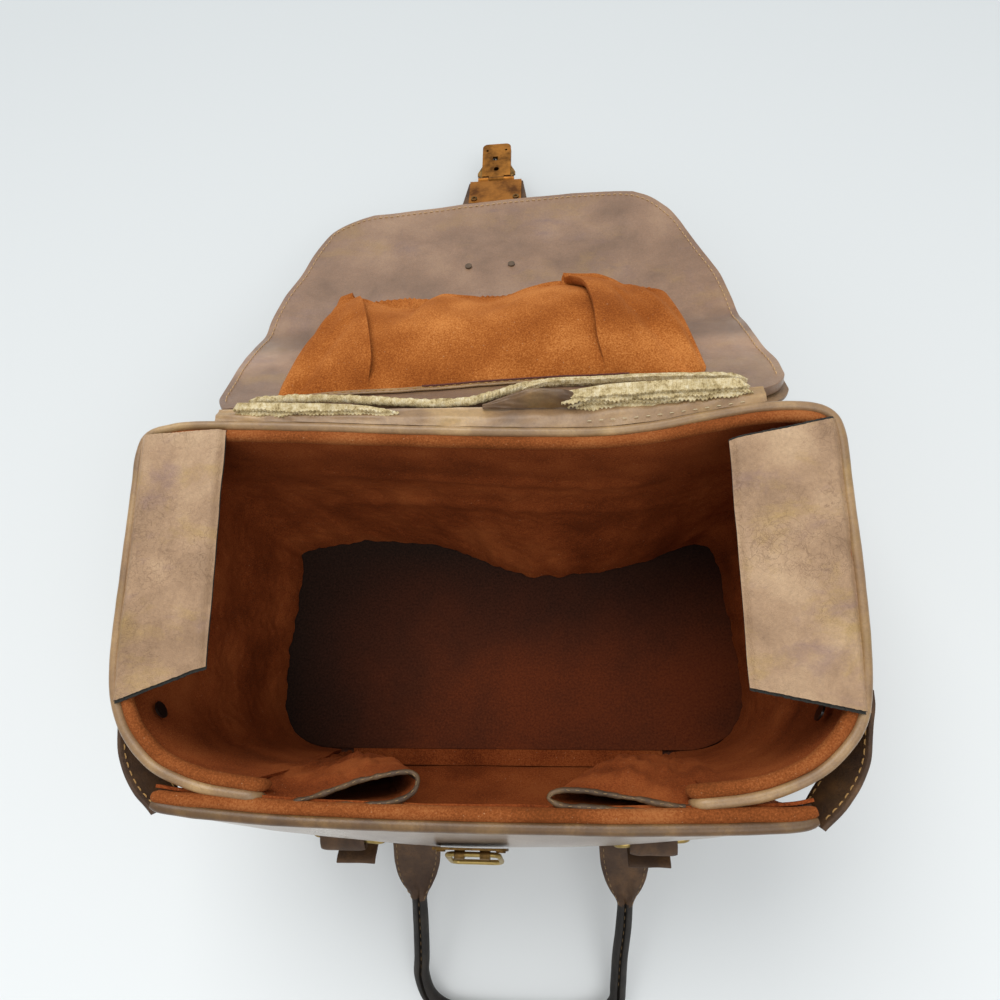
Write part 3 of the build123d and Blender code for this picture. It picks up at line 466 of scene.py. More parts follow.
def shadedFloorBoard(name):
    # dark fibre board under the lining's loose hem, rust-brown in uneven patches, with painted shade that
    # darkens it along its left side and back, where the walls shade it
    material, tree, place, shader = startMaterial(name)
    parts = addNode(tree, "ShaderNodeSeparateXYZ", {"Vector": place})
    smear = addNode(tree, "ShaderNodeTexNoise", {"Vector": place}, Scale=11.0, Detail=6.0, Roughness=0.65)
    # the masks from the left side and the back paint the walls' shade onto the board
    fromLeft = addNode(tree, "ShaderNodeMapRange", {"Value": parts.outputs["X"]},
                       **{"From Min": -0.15, "From Max": -0.05, "To Min": 0.0, "To Max": 1.0})
    fromBack = addNode(tree, "ShaderNodeMapRange", {"Value": parts.outputs["Y"]},
                       **{"From Min": 0.06, "From Max": -0.03, "To Min": 0.0, "To Max": 1.0})
    spread = addNode(tree, "ShaderNodeMath", {0: fromLeft.outputs["Result"], 1: fromBack.outputs["Result"]},
                     operation="MULTIPLY")
    uneven = addNode(tree, "ShaderNodeMapRange", {"Value": smear.outputs["Fac"]},
                     **{"From Min": 0.3, "From Max": 0.62, "To Min": 0.35, "To Max": 1.0})
    share = addNode(tree, "ShaderNodeMath", {0: spread.outputs["Value"], 1: uneven.outputs["Result"]},
                    operation="MULTIPLY")
    fuzz = addNode(tree, "ShaderNodeTexNoise", {"Vector": place}, Scale=700.0, Detail=4.0, Roughness=0.75)
    dark = addNode(tree, "ShaderNodeValToRGB", {"Fac": fuzz.outputs["Fac"]},
                   ramp=[(0.35, "#1d120c"), (0.65, "#35231a")])
    rust = addNode(tree, "ShaderNodeValToRGB", {"Fac": fuzz.outputs["Fac"]},
                   ramp=[(0.35, "#5d2a12"), (0.65, "#7a3a1a")])
    color = addNode(tree, "ShaderNodeMix", {0: share.outputs["Value"], 6: dark.outputs["Color"],
                                            7: rust.outputs["Color"]}, data_type="RGBA")
    tree.links.new(color.outputs[2], shader.inputs["Base Color"])
    bumps = addNode(tree, "ShaderNodeBump", {"Height": fuzz.outputs["Fac"]}, Strength=0.4, Distance=0.0006)
    tree.links.new(bumps.outputs["Normal"], shader.inputs["Normal"])
    shader.inputs["Roughness"].default_value = 0.85
    shader.inputs["Specular IOR Level"].default_value = 0.2
    return material


def paintCreaseSheenAndShade(material):
    # painted sheen and shade in bands across the lid, from its hinge to its front edge: the lighter bands
    # stand for highlights along the crease, the darker ones for its shade, strongest at the sides
    tree = material.node_tree
    shader = next(n for n in tree.nodes if n.type == "BSDF_PRINCIPLED")
    place = next(n for n in tree.nodes if n.type == "TEX_COORD").outputs["Object"]
    color = shader.inputs["Base Color"].links[0].from_socket
    parts = addNode(tree, "ShaderNodeSeparateXYZ", {"Vector": place})
    wander = addNode(tree, "ShaderNodeTexNoise", {"Vector": place}, Scale=14.0, Detail=4.0)
    swayed = addNode(tree, "ShaderNodeMath", {0: wander.outputs["Fac"], 2: parts.outputs["Y"]},
                     operation="MULTIPLY_ADD", sockets={1: 0.03})
    reach = addNode(tree, "ShaderNodeMapRange", {"Value": swayed.outputs["Value"]},
                    **{"From Min": 0.125, "From Max": 0.245})
    # lighter stops are painted highlight, darker stops painted shade
    sheenAndShadeBands = addNode(tree, "ShaderNodeValToRGB", {"Fac": reach.outputs["Result"]},
                    ramp=[(0.0, 0.62), (0.22, 0.74), (0.36, 1.0), (0.44, 0.92),
                          (0.52, 0.60), (0.62, 0.56), (0.74, 0.78), (1.0, 0.74)])
    outer = addNode(tree, "ShaderNodeMath", {0: parts.outputs["X"]}, operation="ABSOLUTE")
    atSides = addNode(tree, "ShaderNodeMapRange", {"Value": outer.outputs["Value"]},
                      **{"From Min": 0.085, "From Max": 0.125, "To Min": 0.25, "To Max": 1.0})
    tone = addNode(tree, "ShaderNodeMix", {0: atSides.outputs["Result"], 7: sheenAndShadeBands.outputs["Color"]},
                   sockets={6: (0.74, 0.74, 0.74, 1)}, data_type="RGBA")
    darker = addNode(tree, "ShaderNodeVectorMath", {0: color, 1: tone.outputs[2]}, operation="MULTIPLY")
    lifted = addNode(tree, "ShaderNodeVectorMath", {0: darker.outputs["Vector"]}, operation="SCALE",
                     Scale=1.36)
    tree.links.new(lifted.outputs["Vector"], shader.inputs["Base Color"])


brownHide = leatherette("leatheretteBrown", "#5a4130", "#826649", "#9a7c5b", "#8f7443", "#6b5450", 0.45,
                        0.4, coat=0.1)
lidHide = leatherette("leatheretteLid", "#563f2e", "#856750", "#9c7d62", "#917248", "#725a56", 0.34, 0.4,
                      coat=0.2, cloudSize=0.05, crackle=0.16, tinted=0.6)
# painted sheen and shade across the lid's crease
paintCreaseSheenAndShade(lidHide)
flapHide = leatherette("leatheretteFlap", "#6b5039", "#a78768", "#c0a17e", "#a98a52", "#8a6e66", 0.48,
                       0.6, coat=0.06, cloudSize=0.035, crackle=0.42, tinted=0.65)
pipingHide = leatherette("leatherettePiping", "#5c4634", "#927350", "#b79667", "#957846", "#765d48",
                         0.34, 0.25, coat=0.25, cloudSize=0.03, crackle=0.2)
frontPipingHide = leatherette("leatheretteFrontPiping", "#3a2818", "#664a2c", "#86663c", "#6e5630",
                              "#56402e", 0.34, 0.25, coat=0.2, cloudSize=0.02, crackle=0.3)
frontHide = leatherette("leatheretteFront", "#635040", "#948170", "#b0a08e", "#94835e", "#857770", 0.28,
                        0.25, coat=0.6, cloudSize=0.05, crackle=0.3)
strapHide = leatherette("leatherDarkStrap", "#2a1b12", "#48321f", "#644628", "#4c3618", "#3c281e", 0.6,
                        0.5, coat=0.0, cloudSize=0.016, crackle=0.5, tinted=0.4)
legHide = leatherette("leatherDarkGrip", "#0e0b08", "#1a1510", "#2a2218", "#211b0f", "#191311", 0.6, 0.4,
                      coat=0.0, cloudSize=0.012, crackle=0.3, tinted=0.3)
bindingHide = leatherette("leatheretteBinding", "#281b11", "#4c3824", "#71573a", "#554226", "#433126",
                          0.5, 0.3, coat=0.05, cloudSize=0.01, crackle=0.3)
cutEdge = plainFinish("leatheretteCutEdge", "#2c2b26", 0.9, scale=900.0, strength=0.5, low=0.6)
# one brushed nylon in three copies: the inside copy is darker and redder, painted shade for the lining down
# in the case, and the pouch copy is lighter and yellower, painted light for the pouch on the lid
rustNap = napCloth("brushedNylonRust", "#6a3818", "#8a4b24", "#a26538")
shadedNap = napCloth("brushedNylonInsideShaded", "#5f2b12", "#87421e", "#a0582c")
litPouchNap = napCloth("brushedNylonPouchLit", "#7c3f16", "#9c5824", "#c27c40", pile=0.6, sheen=0.4)
floorBoard = shadedFloorBoard("fibreBoardShaded")
brass = agedMetal("brassWorn", "#a56c2e", "#5d3818", 0.36, patina=0.3, stainSize=0.014)
haspBrass = agedMetal("brassHasp", "#8a5c28", "#4a2e13", 0.4, patina=0.4, stainSize=0.012)
darkBrass = agedMetal("brassDark", "#7f6136", "#3c2d1c", 0.4, patina=0.7, stainSize=0.004)
wireBrass = agedMetal("brassWire", "#b39a5e", "#6f5a34", 0.3, stainSize=0.02)
foam = tornFoam("foamCanvasTorn", "#7d6640", "#cdb98a", "#e9dcbb")
thread = plainFinish("threadTan", "#b08850", 0.8, scale=1500.0)
dullThread = plainFinish("threadDull", "#8f7450", 0.85, scale=1500.0)
lidThread = plainFinish("threadLid", "#c7a377", 0.8, scale=1500.0)
paleThread = plainFinish("threadCream", "#d3c39d", 0.8, scale=1500.0)
redCut = plainFinish("leatheretteEdgeRed", "#5b2417", 0.7, scale=900.0)
blackSnap = plainFinish("enamelBlack", "#15120f", 0.3, coat=0.4)
steel = agedMetal("steelPin", "#8f8f8c", "#4a4a48", 0.35)
print("stage: materials made")


# Ground lines of the case, in millimetres
def inwardOf(path, distance, height=None):
    # the line moved to its right-hand side, which is inward for the lines of the case
    out = []
    count = len(path)
    for i, point in enumerate(path):
        ahead, behind = path[min(i + 1, count - 1)], path[max(i - 1, 0)]
        along = (ahead - behind)
        along.z = 0
        along.normalize()
        z = point.z if height is None else height / 1000
        out.append(Vector((point.x + along.y * distance / 1000, point.y - along.x * distance / 1000, z)))
    return out


def line(points, height, count):
    fine = smoothPath([mm(x, y, height) for x, y in points], 0.001)
    total = len(fine) - 1
    return [fine[round(total * i / count)] for i in range(count + 1)]


caseLines = {
    "rim": [
        (-105, -89.5), (-129, -86), (-150, -78.5), (-162, -69.5), (-172, -57), (-178.5, -40),
        (-180.8, -18), (-181, 19), (-181, 58), (-181, 82), (-177, 92.5), (-166, 96.5), (-148, 98),
        (-92, 95.3), (-39, 91.8), (13.5, 88.8), (59, 87.2), (89, 89), (114, 93.2), (143, 97.4),
        (165, 97), (177, 92.5), (181.5, 82), (182, 58), (182.3, 19), (181.6, -18), (179.5, -40),
        (176, -54), (168, -65.5), (155, -76.5), (137, -84.5), (122, -88), (105, -90),
    ],
    "base": [
        (-105, -87.5), (-129, -86.5), (-150, -79), (-162, -69.5), (-172, -56.5), (-178, -40),
        (-179.8, -20), (-179.8, 19), (-179.8, 56), (-179.6, 76), (-174, 90), (-160, 95.6),
        (-146, 95.8), (-92, 95.8), (-39, 95.8), (13.5, 95.8), (59, 95.8), (89, 95.8), (114, 95.8),
        (143, 95.8), (160, 95.6), (174, 90), (179.6, 76), (179.8, 56), (179.8, 19), (179.8, -20),
        (178, -40), (172, -56.5), (162, -69.5), (150, -79), (129, -86.5), (118, -87.7), (105, -87.5),
    ],
    "hem": [
        (-113, -78), (-128, -76.5), (-140, -72), (-149, -63), (-154.5, -50), (-156, -40), (-155, -4),
        (-151, 32), (-149, 52), (-148, 60), (-122, 65), (-96, 68), (-66, 66), (-40, 61.5), (-18, 52),
        (11, 42), (39, 39.5), (68, 42), (96, 48), (118, 56), (133, 60), (144, 56), (149, 44),
        (151, 28.5), (157, -12), (159, -38), (157.5, -52), (151, -64), (141, -72.5), (128, -76.5),
        (113, -78),
    ],
}
columns = 330
wallHeight = 177
rimLine = line(caseLines["rim"], wallHeight, columns)
baseLine = line(caseLines["base"], 1.6, columns)
hemLine = line(caseLines["hem"], 9, columns)


# the wall's lines at its base and its rim, keyed by their distance in from the outer face
wallRows = {"base": {}, "rim": {}}


def wallPoint(i, z, inset):
    # a point of the case wall at column i, z mm up and inset mm in from the outer face
    share = (z / wallHeight) ** 2.4
    a, b = wallRows["base"][inset][i], wallRows["rim"][inset][i]
    point = a.lerp(b, share)
    point.z = z / 1000
    return point


def wallSheet(name, inset, low, high, thickness, swell):
    wallRows["base"][inset] = inwardOf(baseLine, inset)
    wallRows["rim"][inset] = inwardOf(rimLine, inset)
    out = {"base": inwardOf(baseLine, inset - 1), "rim": inwardOf(rimLine, inset - 1)}
    rows = []
    for k in range(45):
        z = mix(low, high, k / 44)
        row = []
        for i in range(columns + 1):
            point = wallPoint(i, z, inset)
            away = (out["rim"][i] - wallRows["rim"][inset][i])
            away.z = 0
            away.normalize()
            rise = math.sin(math.pi * min(1, max(0, z / wallHeight)))
            puff = (swell * rise * (1 + 0.8 * wave(point.x, point.y, point.z, 0.06, 2))
                    + swell * 0.35 * wave(point.x, point.y, point.z, 0.022, 5))
            row.append(point + away * puff / 1000)
        rows.append(row)
    piece = gridPiece(name, rows)
    thicken(piece, thickness / 1000, offset=1.0)
    outward(piece)
    smooth(piece)
    return piece


caseShell = wallSheet("caseShell", 0, 1.6, 176, 1.5, 1.2)
dress(caseShell, brownHide)
settle(caseShell, "case", "brown_leatherette", "case_skin")

wallCore = wallSheet("wallCore", 2.0, 5, 175.5, 3.4, 0.4)
dress(wallCore, plainFinish("waddingBrown", "#5a3d2c", 0.95, scale=500.0, strength=0.6))
settle(wallCore, "case", "wadding", "wall_padding", "back_board", "side_boards")
print("stage: case walls made")

# Rim: leatherette piping outside, napped roll inside
rimSizes = {"pipingRadius": 2.6, "pipingInset": 1.2, "rollRadius": 3.3, "rollInset": 6.3}


def rimRod(name, path, radius, flat, material, body, slot, replaced, soft=0.25, sides=16):
    radii = [radius / 1000 * (1 + soft * 0.35 * wave(p.x, p.y, 0, 0.03, 1)
                              + soft * 0.2 * wave(p.x, p.y, 0, 0.009, 4)) for p in path]
    spots = [p + mm(0, 0, soft * 1.6 * wave(p.x, p.y, 0, 0.05, 6)) for p in path]
    count = len(radii)
    for k in range(3):
        radii[k] *= (0.55, 0.85, 0.96)[k]
        radii[count - 1 - k] *= (0.55, 0.85, 0.96)[k]
    piece = tube(name, spots, radius / 1000, sides=sides, flat=flat, radii=radii)
    smooth(piece, 60)
    dress(piece, material)
    settle(piece, body, slot, *replaced)
    return piece


def turnedDown(path):
    # both ends of the rim bend down behind the gusset cloth
    bend = ((2.2, 0.6), (3.9, 2.4), (4.9, 5.0), (5.4, 8.0))
    first, last = (path[0] - path[1]).normalized(), (path[-1] - path[-2]).normalized()
    before = [path[0] + first * mm(reach) - mm(0, 0, fall) for reach, fall in reversed(bend)]
    return before + path + [path[-1] + last * mm(reach) - mm(0, 0, fall) for reach, fall in bend]


pipingPath = turnedDown(smoothPath(inwardOf(rimLine, rimSizes["pipingInset"], 177.6), 0.002))
rollPath = turnedDown(smoothPath(inwardOf(rimLine, rimSizes["rollInset"], 176.6), 0.002))
rimRod("rimPipingVisual", pipingPath, rimSizes["pipingRadius"], 1.0, pipingHide, "case", "taupe_piping",
       ["rim_piping"])
rimRod("rimRollVisual", rollPath, rimSizes["rollRadius"], 1.0, rustNap, "case", "rust_lining", ["rim_roll"],
       soft=0.35)
print("stage: rim made")

# Lining of the case, loose below the rim and lying on the floor panel at its hem
liningSettings = {"topInset": 8.6, "hemHeight": 8.9, "thickness": 1.3}
liningTop = inwardOf(rimLine, liningSettings["topInset"], 174.4)
rows = []
for k in range(80):
    t = k / 79
    row = []
    for i in range(columns + 1):
        top, hem = liningTop[i], hemLine[i]
        around = i / columns
        hold = smoothstep(0, 0.1, around) * smoothstep(0, 0.1, 1 - around)
        inFar = mix(0.10, 1.0, smoothstep(0.1, 1.0, t) ** 1.25) if t > 0.1 else 0.10 * t / 0.1
        point = top.lerp(hem, inFar * (t ** 1.1))
        drop = t ** 0.93
        point.z = mix(0.1744, mm(liningSettings["hemHeight"]), drop)
        # the lower edge turns flat onto the floor panel
        point.z += 0.004 * bump(0.93, 0.05, t) * (0.4 + wave(around * 3, 0, 0, 0.05, 2))
        inwards = (hem - top)
        inwards.z = 0
        inwards.normalize()
        fold = (2.6 * wave(around * 1.6, t * 0.2, 0, 0.035, 3)
                + 1.2 * wave(around * 1.6, t * 0.6, 0, 0.013, 8)
                + 1.6 * wave(around, t * 1.2, 0, 0.16, 5))
        point += inwards * fold / 1000 * smoothstep(0.12, 0.5, t) * (0.35 + 0.65 * hold)
        # long slack creases that hang across the back wall
        crease = (2.4 * bump(0.62 + 0.1 * math.sin(around * 9), 0.035, t)
                  + 1.8 * bump(0.36 + 0.06 * math.sin(around * 7 + 2), 0.03, t))
        point += inwards * crease / 1000 * smoothstep(0.3, 0.4, around) * smoothstep(0.3, 0.42, 1 - around)
        point.z += 0.0012 * t * wave(around * 2.5, 1, 0, 0.02, 7) * smoothstep(0.8, 1, t)
        row.append(point)
    rows.append(row)
caseLining = gridPiece("caseLining", rows)
thicken(caseLining, mm(liningSettings["thickness"]), offset=1.0)
outward(caseLining)
smooth(caseLining, 60)
dress(caseLining, shadedNap)
settle(caseLining, "case", "rust_lining", "wall_lining")
print("stage: lining made")


# Front panel, bowed, with the photographed sway of its upper edge
panelSettings = {"half": 151.6, "low": 2.0, "high": 175.0, "corner": 25.0}
skinNode = nodes["front_skin"]
skinTree = BVHTree.FromPolygons([v.co for v in skinNode.data.vertices],
                                [p.vertices for p in skinNode.data.polygons])
panelTop = [
    (-152, -94.4), (-140, -96.2), (-128, -97.4), (-80, -100.3), (-32, -101.3), (13, -101.7),
    (58, -101.7), (102, -100.7), (130, -99.6), (144, -98.4), (153, -96.4),
]


def panelFace(x, z):
    hit = skinTree.ray_cast(mm(x, -200, z), Vector((0, 1, 0)))[0]
    y = hit.y if hit else mm(-101)
    top = mm(table(panelTop, x))
    cadTop = mm(-107.6 + 7 * (x / 151.6) ** 2)
    return Vector((mm(x), y + (top - cadTop) * smoothstep(128, 177, z), mm(z)))


def panelSheet(name, depth, thickness, ripple, low, high, seed, foot=0.0):
    rows = []
    for k in range(70):
        z = mix(low, high, k / 69)
        half = panelSettings["half"]
        if z < panelSettings["low"] + panelSettings["corner"]:
            sink = panelSettings["low"] + panelSettings["corner"] - z
            half -= panelSettings["corner"] - math.sqrt(max(0, panelSettings["corner"] ** 2 - sink ** 2))
        row = []
        for i in range(121):
            x = mix(-half, half, i / 120)
            face = panelFace(max(-151.2, min(151.2, x)), max(2.4, min(174.6, z)))
            lump = ripple * (wave(x / 1000, 0, z / 1000, 0.05, seed)
                             + 0.4 * wave(x / 1000, 0, z / 1000, 0.017, seed + 2))
            row.append(Vector((mm(x), face.y + mm(depth + lump + foot * (1 - smoothstep(6, 30, z))), mm(z))))
        rows.append(row)
    piece = gridPiece(name, rows)
    thicken(piece, mm(thickness), offset=1.0)
    outward(piece)
    smooth(piece, 50)
    return piece


frontShell = panelSheet("frontShell", 0.2, -1.6, 0.5, 2.0, 175.6, 3)
dress(frontShell, frontHide)
settle(frontShell, "front_panel", "brown_leatherette", "front_skin")
frontCore = panelSheet("frontCore", 2.6, -6.2, 0.2, 4.0, 175.2, 5)
dress(frontCore, bpy.data.materials["waddingBrown"])
settle(frontCore, "front_panel", "wadding", "front_padding", "front_board")
frontInside = panelSheet("frontInside", 9.6, -1.4, 1.0, 3.0, 176, 9, foot=2.6)
dress(frontInside, shadedNap)
settle(frontInside, "front_panel", "rust_lining", "front_lining")

topPath = [mm(x, table(panelTop, x), 177.4) for x in range(-152, 153, 2)]
frontPipingPath = [p + mm(0, 1.5, 0) for p in topPath]
frontRollPath = [p + mm(0, 6.9 - 1.5 * smoothstep(120, 150, abs(p.x * 1000)), -0.3) for p in topPath]
rimRod("frontPipingVisual", frontPipingPath, 2.9, 1.0, frontPipingHide, "front_panel", "taupe_piping",
       ["front_piping"])
rimRod("frontRollVisual", frontRollPath, 3.4, 1.0, rustNap, "front_panel", "rust_lining", ["front_roll"],
       soft=0.3)
print("stage: front panel made")


# Gussets: cloth inside, leatherette outside, folded in a loop with a bound upper edge
gussets = {
    "left": {
        "top": [
            (-118, -81.6), (-111, -82.6), (-104.6, -84), (-98.5, -88.2), (-91.5, -91.6),
            (-86.2, -91.8), (-80.1, -90.2), (-70.7, -87.5), (-61.3, -84.3), (-52, -81.1),
            (-40.2, -78.6), (-33, -77.2), (-27.5, -77.3), (-24.7, -79.7), (-25.4, -84.1),
            (-29.1, -87.6), (-35, -90), (-42, -91), (-56.2, -91.8), (-78, -92.4), (-100, -93),
        ],
        "foot": [
            (-124, -78.6), (-118, -79.2), (-112, -79.8), (-104, -81), (-98, -81.8), (-94, -82.3),
            (-90, -83), (-86, -84), (-82, -85.2), (-78, -86.8), (-75, -88), (-73, -89.2), (-73, -90.4),
            (-76, -91.3), (-80, -91.8), (-84, -92.2), (-88, -92.5), (-92, -92.8), (-97, -93),
            (-102, -93.3),
        ],
        "swell": 8.0,
    },
    "right": {
        "top": [
            (118, -81.6), (111, -82.4), (105.0, -83.6), (99, -89.6), (93.7, -90.3), (86, -89.2),
            (76.3, -87.6), (66, -86.1), (58.7, -85.0), (50, -84.2), (43, -84.0), (37.5, -85.3),
            (35.6, -87.6), (38.5, -89.8), (44, -90.8), (52, -91.3), (64, -91.8), (78, -92.2),
            (90, -92.6), (102, -93),
        ],
        "foot": [
            (124, -78.6), (118, -79.2), (112, -79.8), (104, -81), (98, -81.8), (94, -82.3), (90, -83),
            (86, -84), (82, -85.2), (78, -86.8), (75, -88), (73, -89.2), (73, -90.4), (76, -91.3),
            (80, -91.8), (84, -92.2), (88, -92.5), (92, -92.8), (97, -93), (102, -93.3),
        ],
        "swell": 12.0,
    },
}


def gussetPiece(side, spec):
    top = line(spec["top"], 175.5, 120)
    foot = line(spec["foot"], 10, 120)
    rows = []
    for k in range(60):
        t = k / 59
        row = []
        for i in range(121):
            u = i / 120
            point = top[i].lerp(foot[i], t ** 0.9)
            point.z = mix(0.1755, 0.010, t)
            loose = math.sin(math.pi * min(1, u / 0.62)) if u < 0.62 else 0
            lift = spec["swell"] * loose * math.sin(math.pi * min(1, t * 1.25)) if t < 0.8 else 0
            seed = 3 if side == "left" else 7
            fold = (3.0 * wave(u * 0.8, t * 0.5, 0, 0.08, seed)
                    + 2.0 * wave(u * 1.2, t * 0.4, 0, 0.04, seed + 2)) * smoothstep(0, 0.10, t)
            # the upper edge sags a little between its ends
            point.z -= (0.0018 * math.sin(math.pi * min(1, u / 0.5)) * (1 - smoothstep(0, 0.25, t))
                        * (1 + wave(u, 0, 0, 0.12, seed)))
            point.y += (lift * 0.8 + fold * loose) / 1000
            row.append(point)
        rows.append(row)
    piece = gridPiece(f"gussetCloth_{side}", rows)
    thicken(piece, mm(1.3), offset=0.0)
    outward(piece)
    smooth(piece, 60)
    # nap on the side of the compartment, leatherette in the loop
    dress(piece, shadedNap, strapHide)
    return piece, top


for side, spec in gussets.items():
    cloth, top = gussetPiece(side, spec)
    for polygon in cloth.data.polygons:
        inLoop = polygon.normal.y < -0.05 and polygon.center.y > -0.0915
        polygon.material_index = 1 if inLoop else 0
    settle(cloth, "case", "rust_lining", f"gusset_{side}")
    # the bound edge starts where the cloth comes out from behind the end of the rim,
    # and its thickness wanders along it
    bound = smoothPath([p + mm(0, 0, 0.9) for p in top[19:114]], 0.0009)
    bound = [p + mm(0.25 * wave(p.x, p.y, 0, 0.005, 4), 0.3 * wave(p.x, p.y, 0, 0.007, 5),
                    0.5 * wave(p.x, p.y, 0, 0.011, 9)) for p in bound]
    radii = [0.00125 * (1 + 0.45 * wave(p.x, p.y, 0, 0.006, 2) + 0.2 * wave(p.x, p.y, 0, 0.0025, 8))
             for p in bound]
    binding = tube(f"gussetBinding_{side}", bound, 0.00125, sides=12, flat=1.1, radii=radii)
    smooth(binding, 60)
    dress(binding, bindingHide)
    settle(binding, "case", "taupe_piping")
    stitches(f"gussetStitches_{side}", [p + mm(0, 0.2, 1.5) for p in bound], Vector((0, 0, 1)), mm(1.9),
             mm(2.3), mm(0.22), "case", dullThread, wobble=0.5)
print("stage: gussets made")

# Corner straps, their stitches and snaps
straps = {
    "left": [
        (-181.6, -40), (-180.6, -47), (-178.2, -54), (-175.2, -62), (-172.4, -70.5), (-168.6, -78.5),
        (-163.6, -85.5), (-158.2, -91.2), (-154, -96.2),
    ],
    "right": [
        (183.4, -40), (183.2, -47), (181.2, -55), (177.6, -63), (174.4, -71), (170.2, -79), (165, -86),
        (159.5, -92.5), (154.5, -98),
    ],
}
strapSizes = {"width": 20.0, "thickness": 2.6, "height": 158.0, "seam": 7.6}


def band(name, path, width, thickness, lift, edge=0.0008, widths=None, bows=None):
    # a strap with rounded edges along a line; its width lies along lift
    rows = []
    count = len(path)
    for i, point in enumerate(path):
        along = (path[min(i + 1, count - 1)] - path[max(i - 1, 0)]).normalized()
        rise = lift[i] if isinstance(lift, list) else lift
        up = (rise - along * rise.dot(along)).normalized()
        side = along.cross(up).normalized()
        half = (width if widths is None else widths[i]) / 2
        thick = thickness / 2
        bow = 0 if bows is None else bows[i]
        ring = []
        outline = [(-half, 0.0), (-half + edge * 0.25, 0.75), (-half + edge, 1.0)]
        outline += [(mix(-half + edge, half - edge, k / 8), 1.0) for k in range(1, 8)]
        outline += [(half - edge, 1.0), (half - edge * 0.25, 0.75), (half, 0.0)]
        loop = outline + [(a, -b) for a, b in outline[-2:0:-1]]
        for a, b in loop:
            crown = bow * (1 - (a / half) ** 2)
            ring.append(point + up * a + side * (b * thick + crown))
        rows.append(ring)
    piece = gridPiece(name, rows, closedAcross=True)
    capEnds(piece, len(rows[0]), len(rows))
    outward(piece)
    smooth(piece, 55)
    return piece


for side, points in straps.items():
    path = smoothPath([mm(x, y, strapSizes["height"]) for x, y in points], 0.0012)
    sign = -1 if side == "left" else 1
    count = len(path)
    tilts = []
    for i in range(count):
        lean = 0.08 + 0.55 * smoothstep(0.18, 0.5, i / count) * (1 - 0.5 * smoothstep(0.75, 1.0, i / count))
        tilts.append(Vector((sign * lean, -0.45 * lean, 1)).normalized())
    strap = band(f"cornerStrapVisual_{side}", path, mm(strapSizes["width"]),
                 mm(strapSizes["thickness"]), tilts)
    dress(strap, strapHide)
    settle(strap, f"strap_{side}", "dark_leather", f"corner_strap_{side}")
    for k, edge in ((0, 1), (1, -1)):
        seam = [p + tilt * mm(edge * strapSizes["seam"]) for p, tilt in zip(path[3:-2], tilts[3:-2])]
        for face in (-1, 1):
            faces = []
            for i, p in enumerate(seam):
                along = (seam[min(i + 1, len(seam) - 1)] - seam[max(i - 1, 0)]).normalized()
                faces.append(along.cross(tilts[i + 3]).normalized() * face)
            stitches(f"strapStitches_{side}_{k}_{face + 1}",
                     [p + n * mm(1.35) for p, n in zip(seam, faces)], faces, mm(2.9), mm(1.5), mm(0.36),
                     f"strap_{side}", thread)
for name in ("snap_cap_left", "snap_cap_right", "snap_studs"):
    dress(nodes[name], blackSnap)
print("stage: straps made")

# Dust flaps, cut leatherette lying on the rim
flaps = {
    "left": {
        "corners": [(-178, 90.5), (-132.3, 92.7), (-130.4, -29.3), (-177, -46.5)],
        "flat": (0.048, 0.130),
        "lift": [0.6, 0.4, 0.8, -0.2],
    },
    "right": {
        "corners": [(179.4, 88.3), (126.3, 77.8), (127.2, -39.3), (179.2, -50)],
        "flat": (0.053, 0.128),
        "lift": [1.0, 2.4, 0.8, -0.2],
    },
}
flapSizes = {"rimTop": 181.6, "highest": 184.9, "length": 125, "thickness": 1.0, "backing": 1.1}


def flapHeight(x, y, u, t, spec):
    back = mix(spec["lift"][0], spec["lift"][1], u)
    front = mix(spec["lift"][3], spec["lift"][2], u)
    height = flapSizes["rimTop"] + mix(back, front, t)
    # sewn down at its root, slightly cupped, and rolled over at its inner edge
    height -= 3.2 * (1 - smoothstep(0.0, 0.08, u))
    height += 1.0 * math.sin(math.pi * u) * (0.6 + 0.6 * wave(t, u, 0, 0.3, 4))
    height -= 2.4 * smoothstep(0.90, 1.0, u) ** 1.5
    height += 0.5 * wave(x / 1000, y / 1000, 0, 0.016, 6) + 1.0 * wave(x / 1000, y / 1000, 0, 0.045, 2)
    return min(height, flapSizes["highest"])


def flapPiece(name, spec, drop, beyond, thickness, materials):
    outerBack, innerBack, innerFront, outerFront = [Vector((x, y, 0)) for x, y in spec["corners"]]
    rows = []
    for k in range(90):
        t = mix(-beyond[1] / flapSizes["length"], 1 + beyond[0] / flapSizes["length"], k / 89)
        row = []
        a, b = outerBack.lerp(outerFront, t), innerBack.lerp(innerFront, t)
        for i in range(56):
            u = i / 55
            p = a.lerp(b, u)
            p.x += 0.7 * wave(0, t * 0.5, u, 0.1, 3) * u
            p.y += 0.35 * wave(u, t, 0, 0.02, 6) * (1 if k in (0, 89) else 0)
            row.append(mm(p.x, p.y, flapHeight(p.x, p.y, u, min(1, max(0, t)), spec) - drop))
        rows.append(row)
    piece = gridPiece(name, rows)
    thicken(piece, mm(thickness))
    outward(piece)
    dress(piece, *materials)
    for polygon in piece.data.polygons:
        if abs(polygon.normal.z) < 0.5 and abs(polygon.normal.y) > 0.6:
            polygon.material_index = 1
    smooth(piece, 40)
    return piece


for side, spec in flaps.items():
    flap = flapPiece(f"dustFlapVisual_{side}", spec, 0.0, (0.0, 0.0), flapSizes["thickness"],
                     (flapHide, cutEdge))
    settle(flap, f"dust_flap_{side}", "flap_leatherette", f"dust_flap_{side}")
    # black cloth backing, cut a little longer than the leatherette; at the right flap's back edge its dark
    # strip is painted shadow of the gap behind the lifted edge
    backing = flapPiece(f"dustFlapBacking_{side}", spec, 1.02, (1.3, 1.2 if side == "right" else 0.2),
                        flapSizes["backing"], (cutEdge, cutEdge))
    settle(backing, f"dust_flap_{side}", "flap_leatherette")
print("stage: dust flaps made")

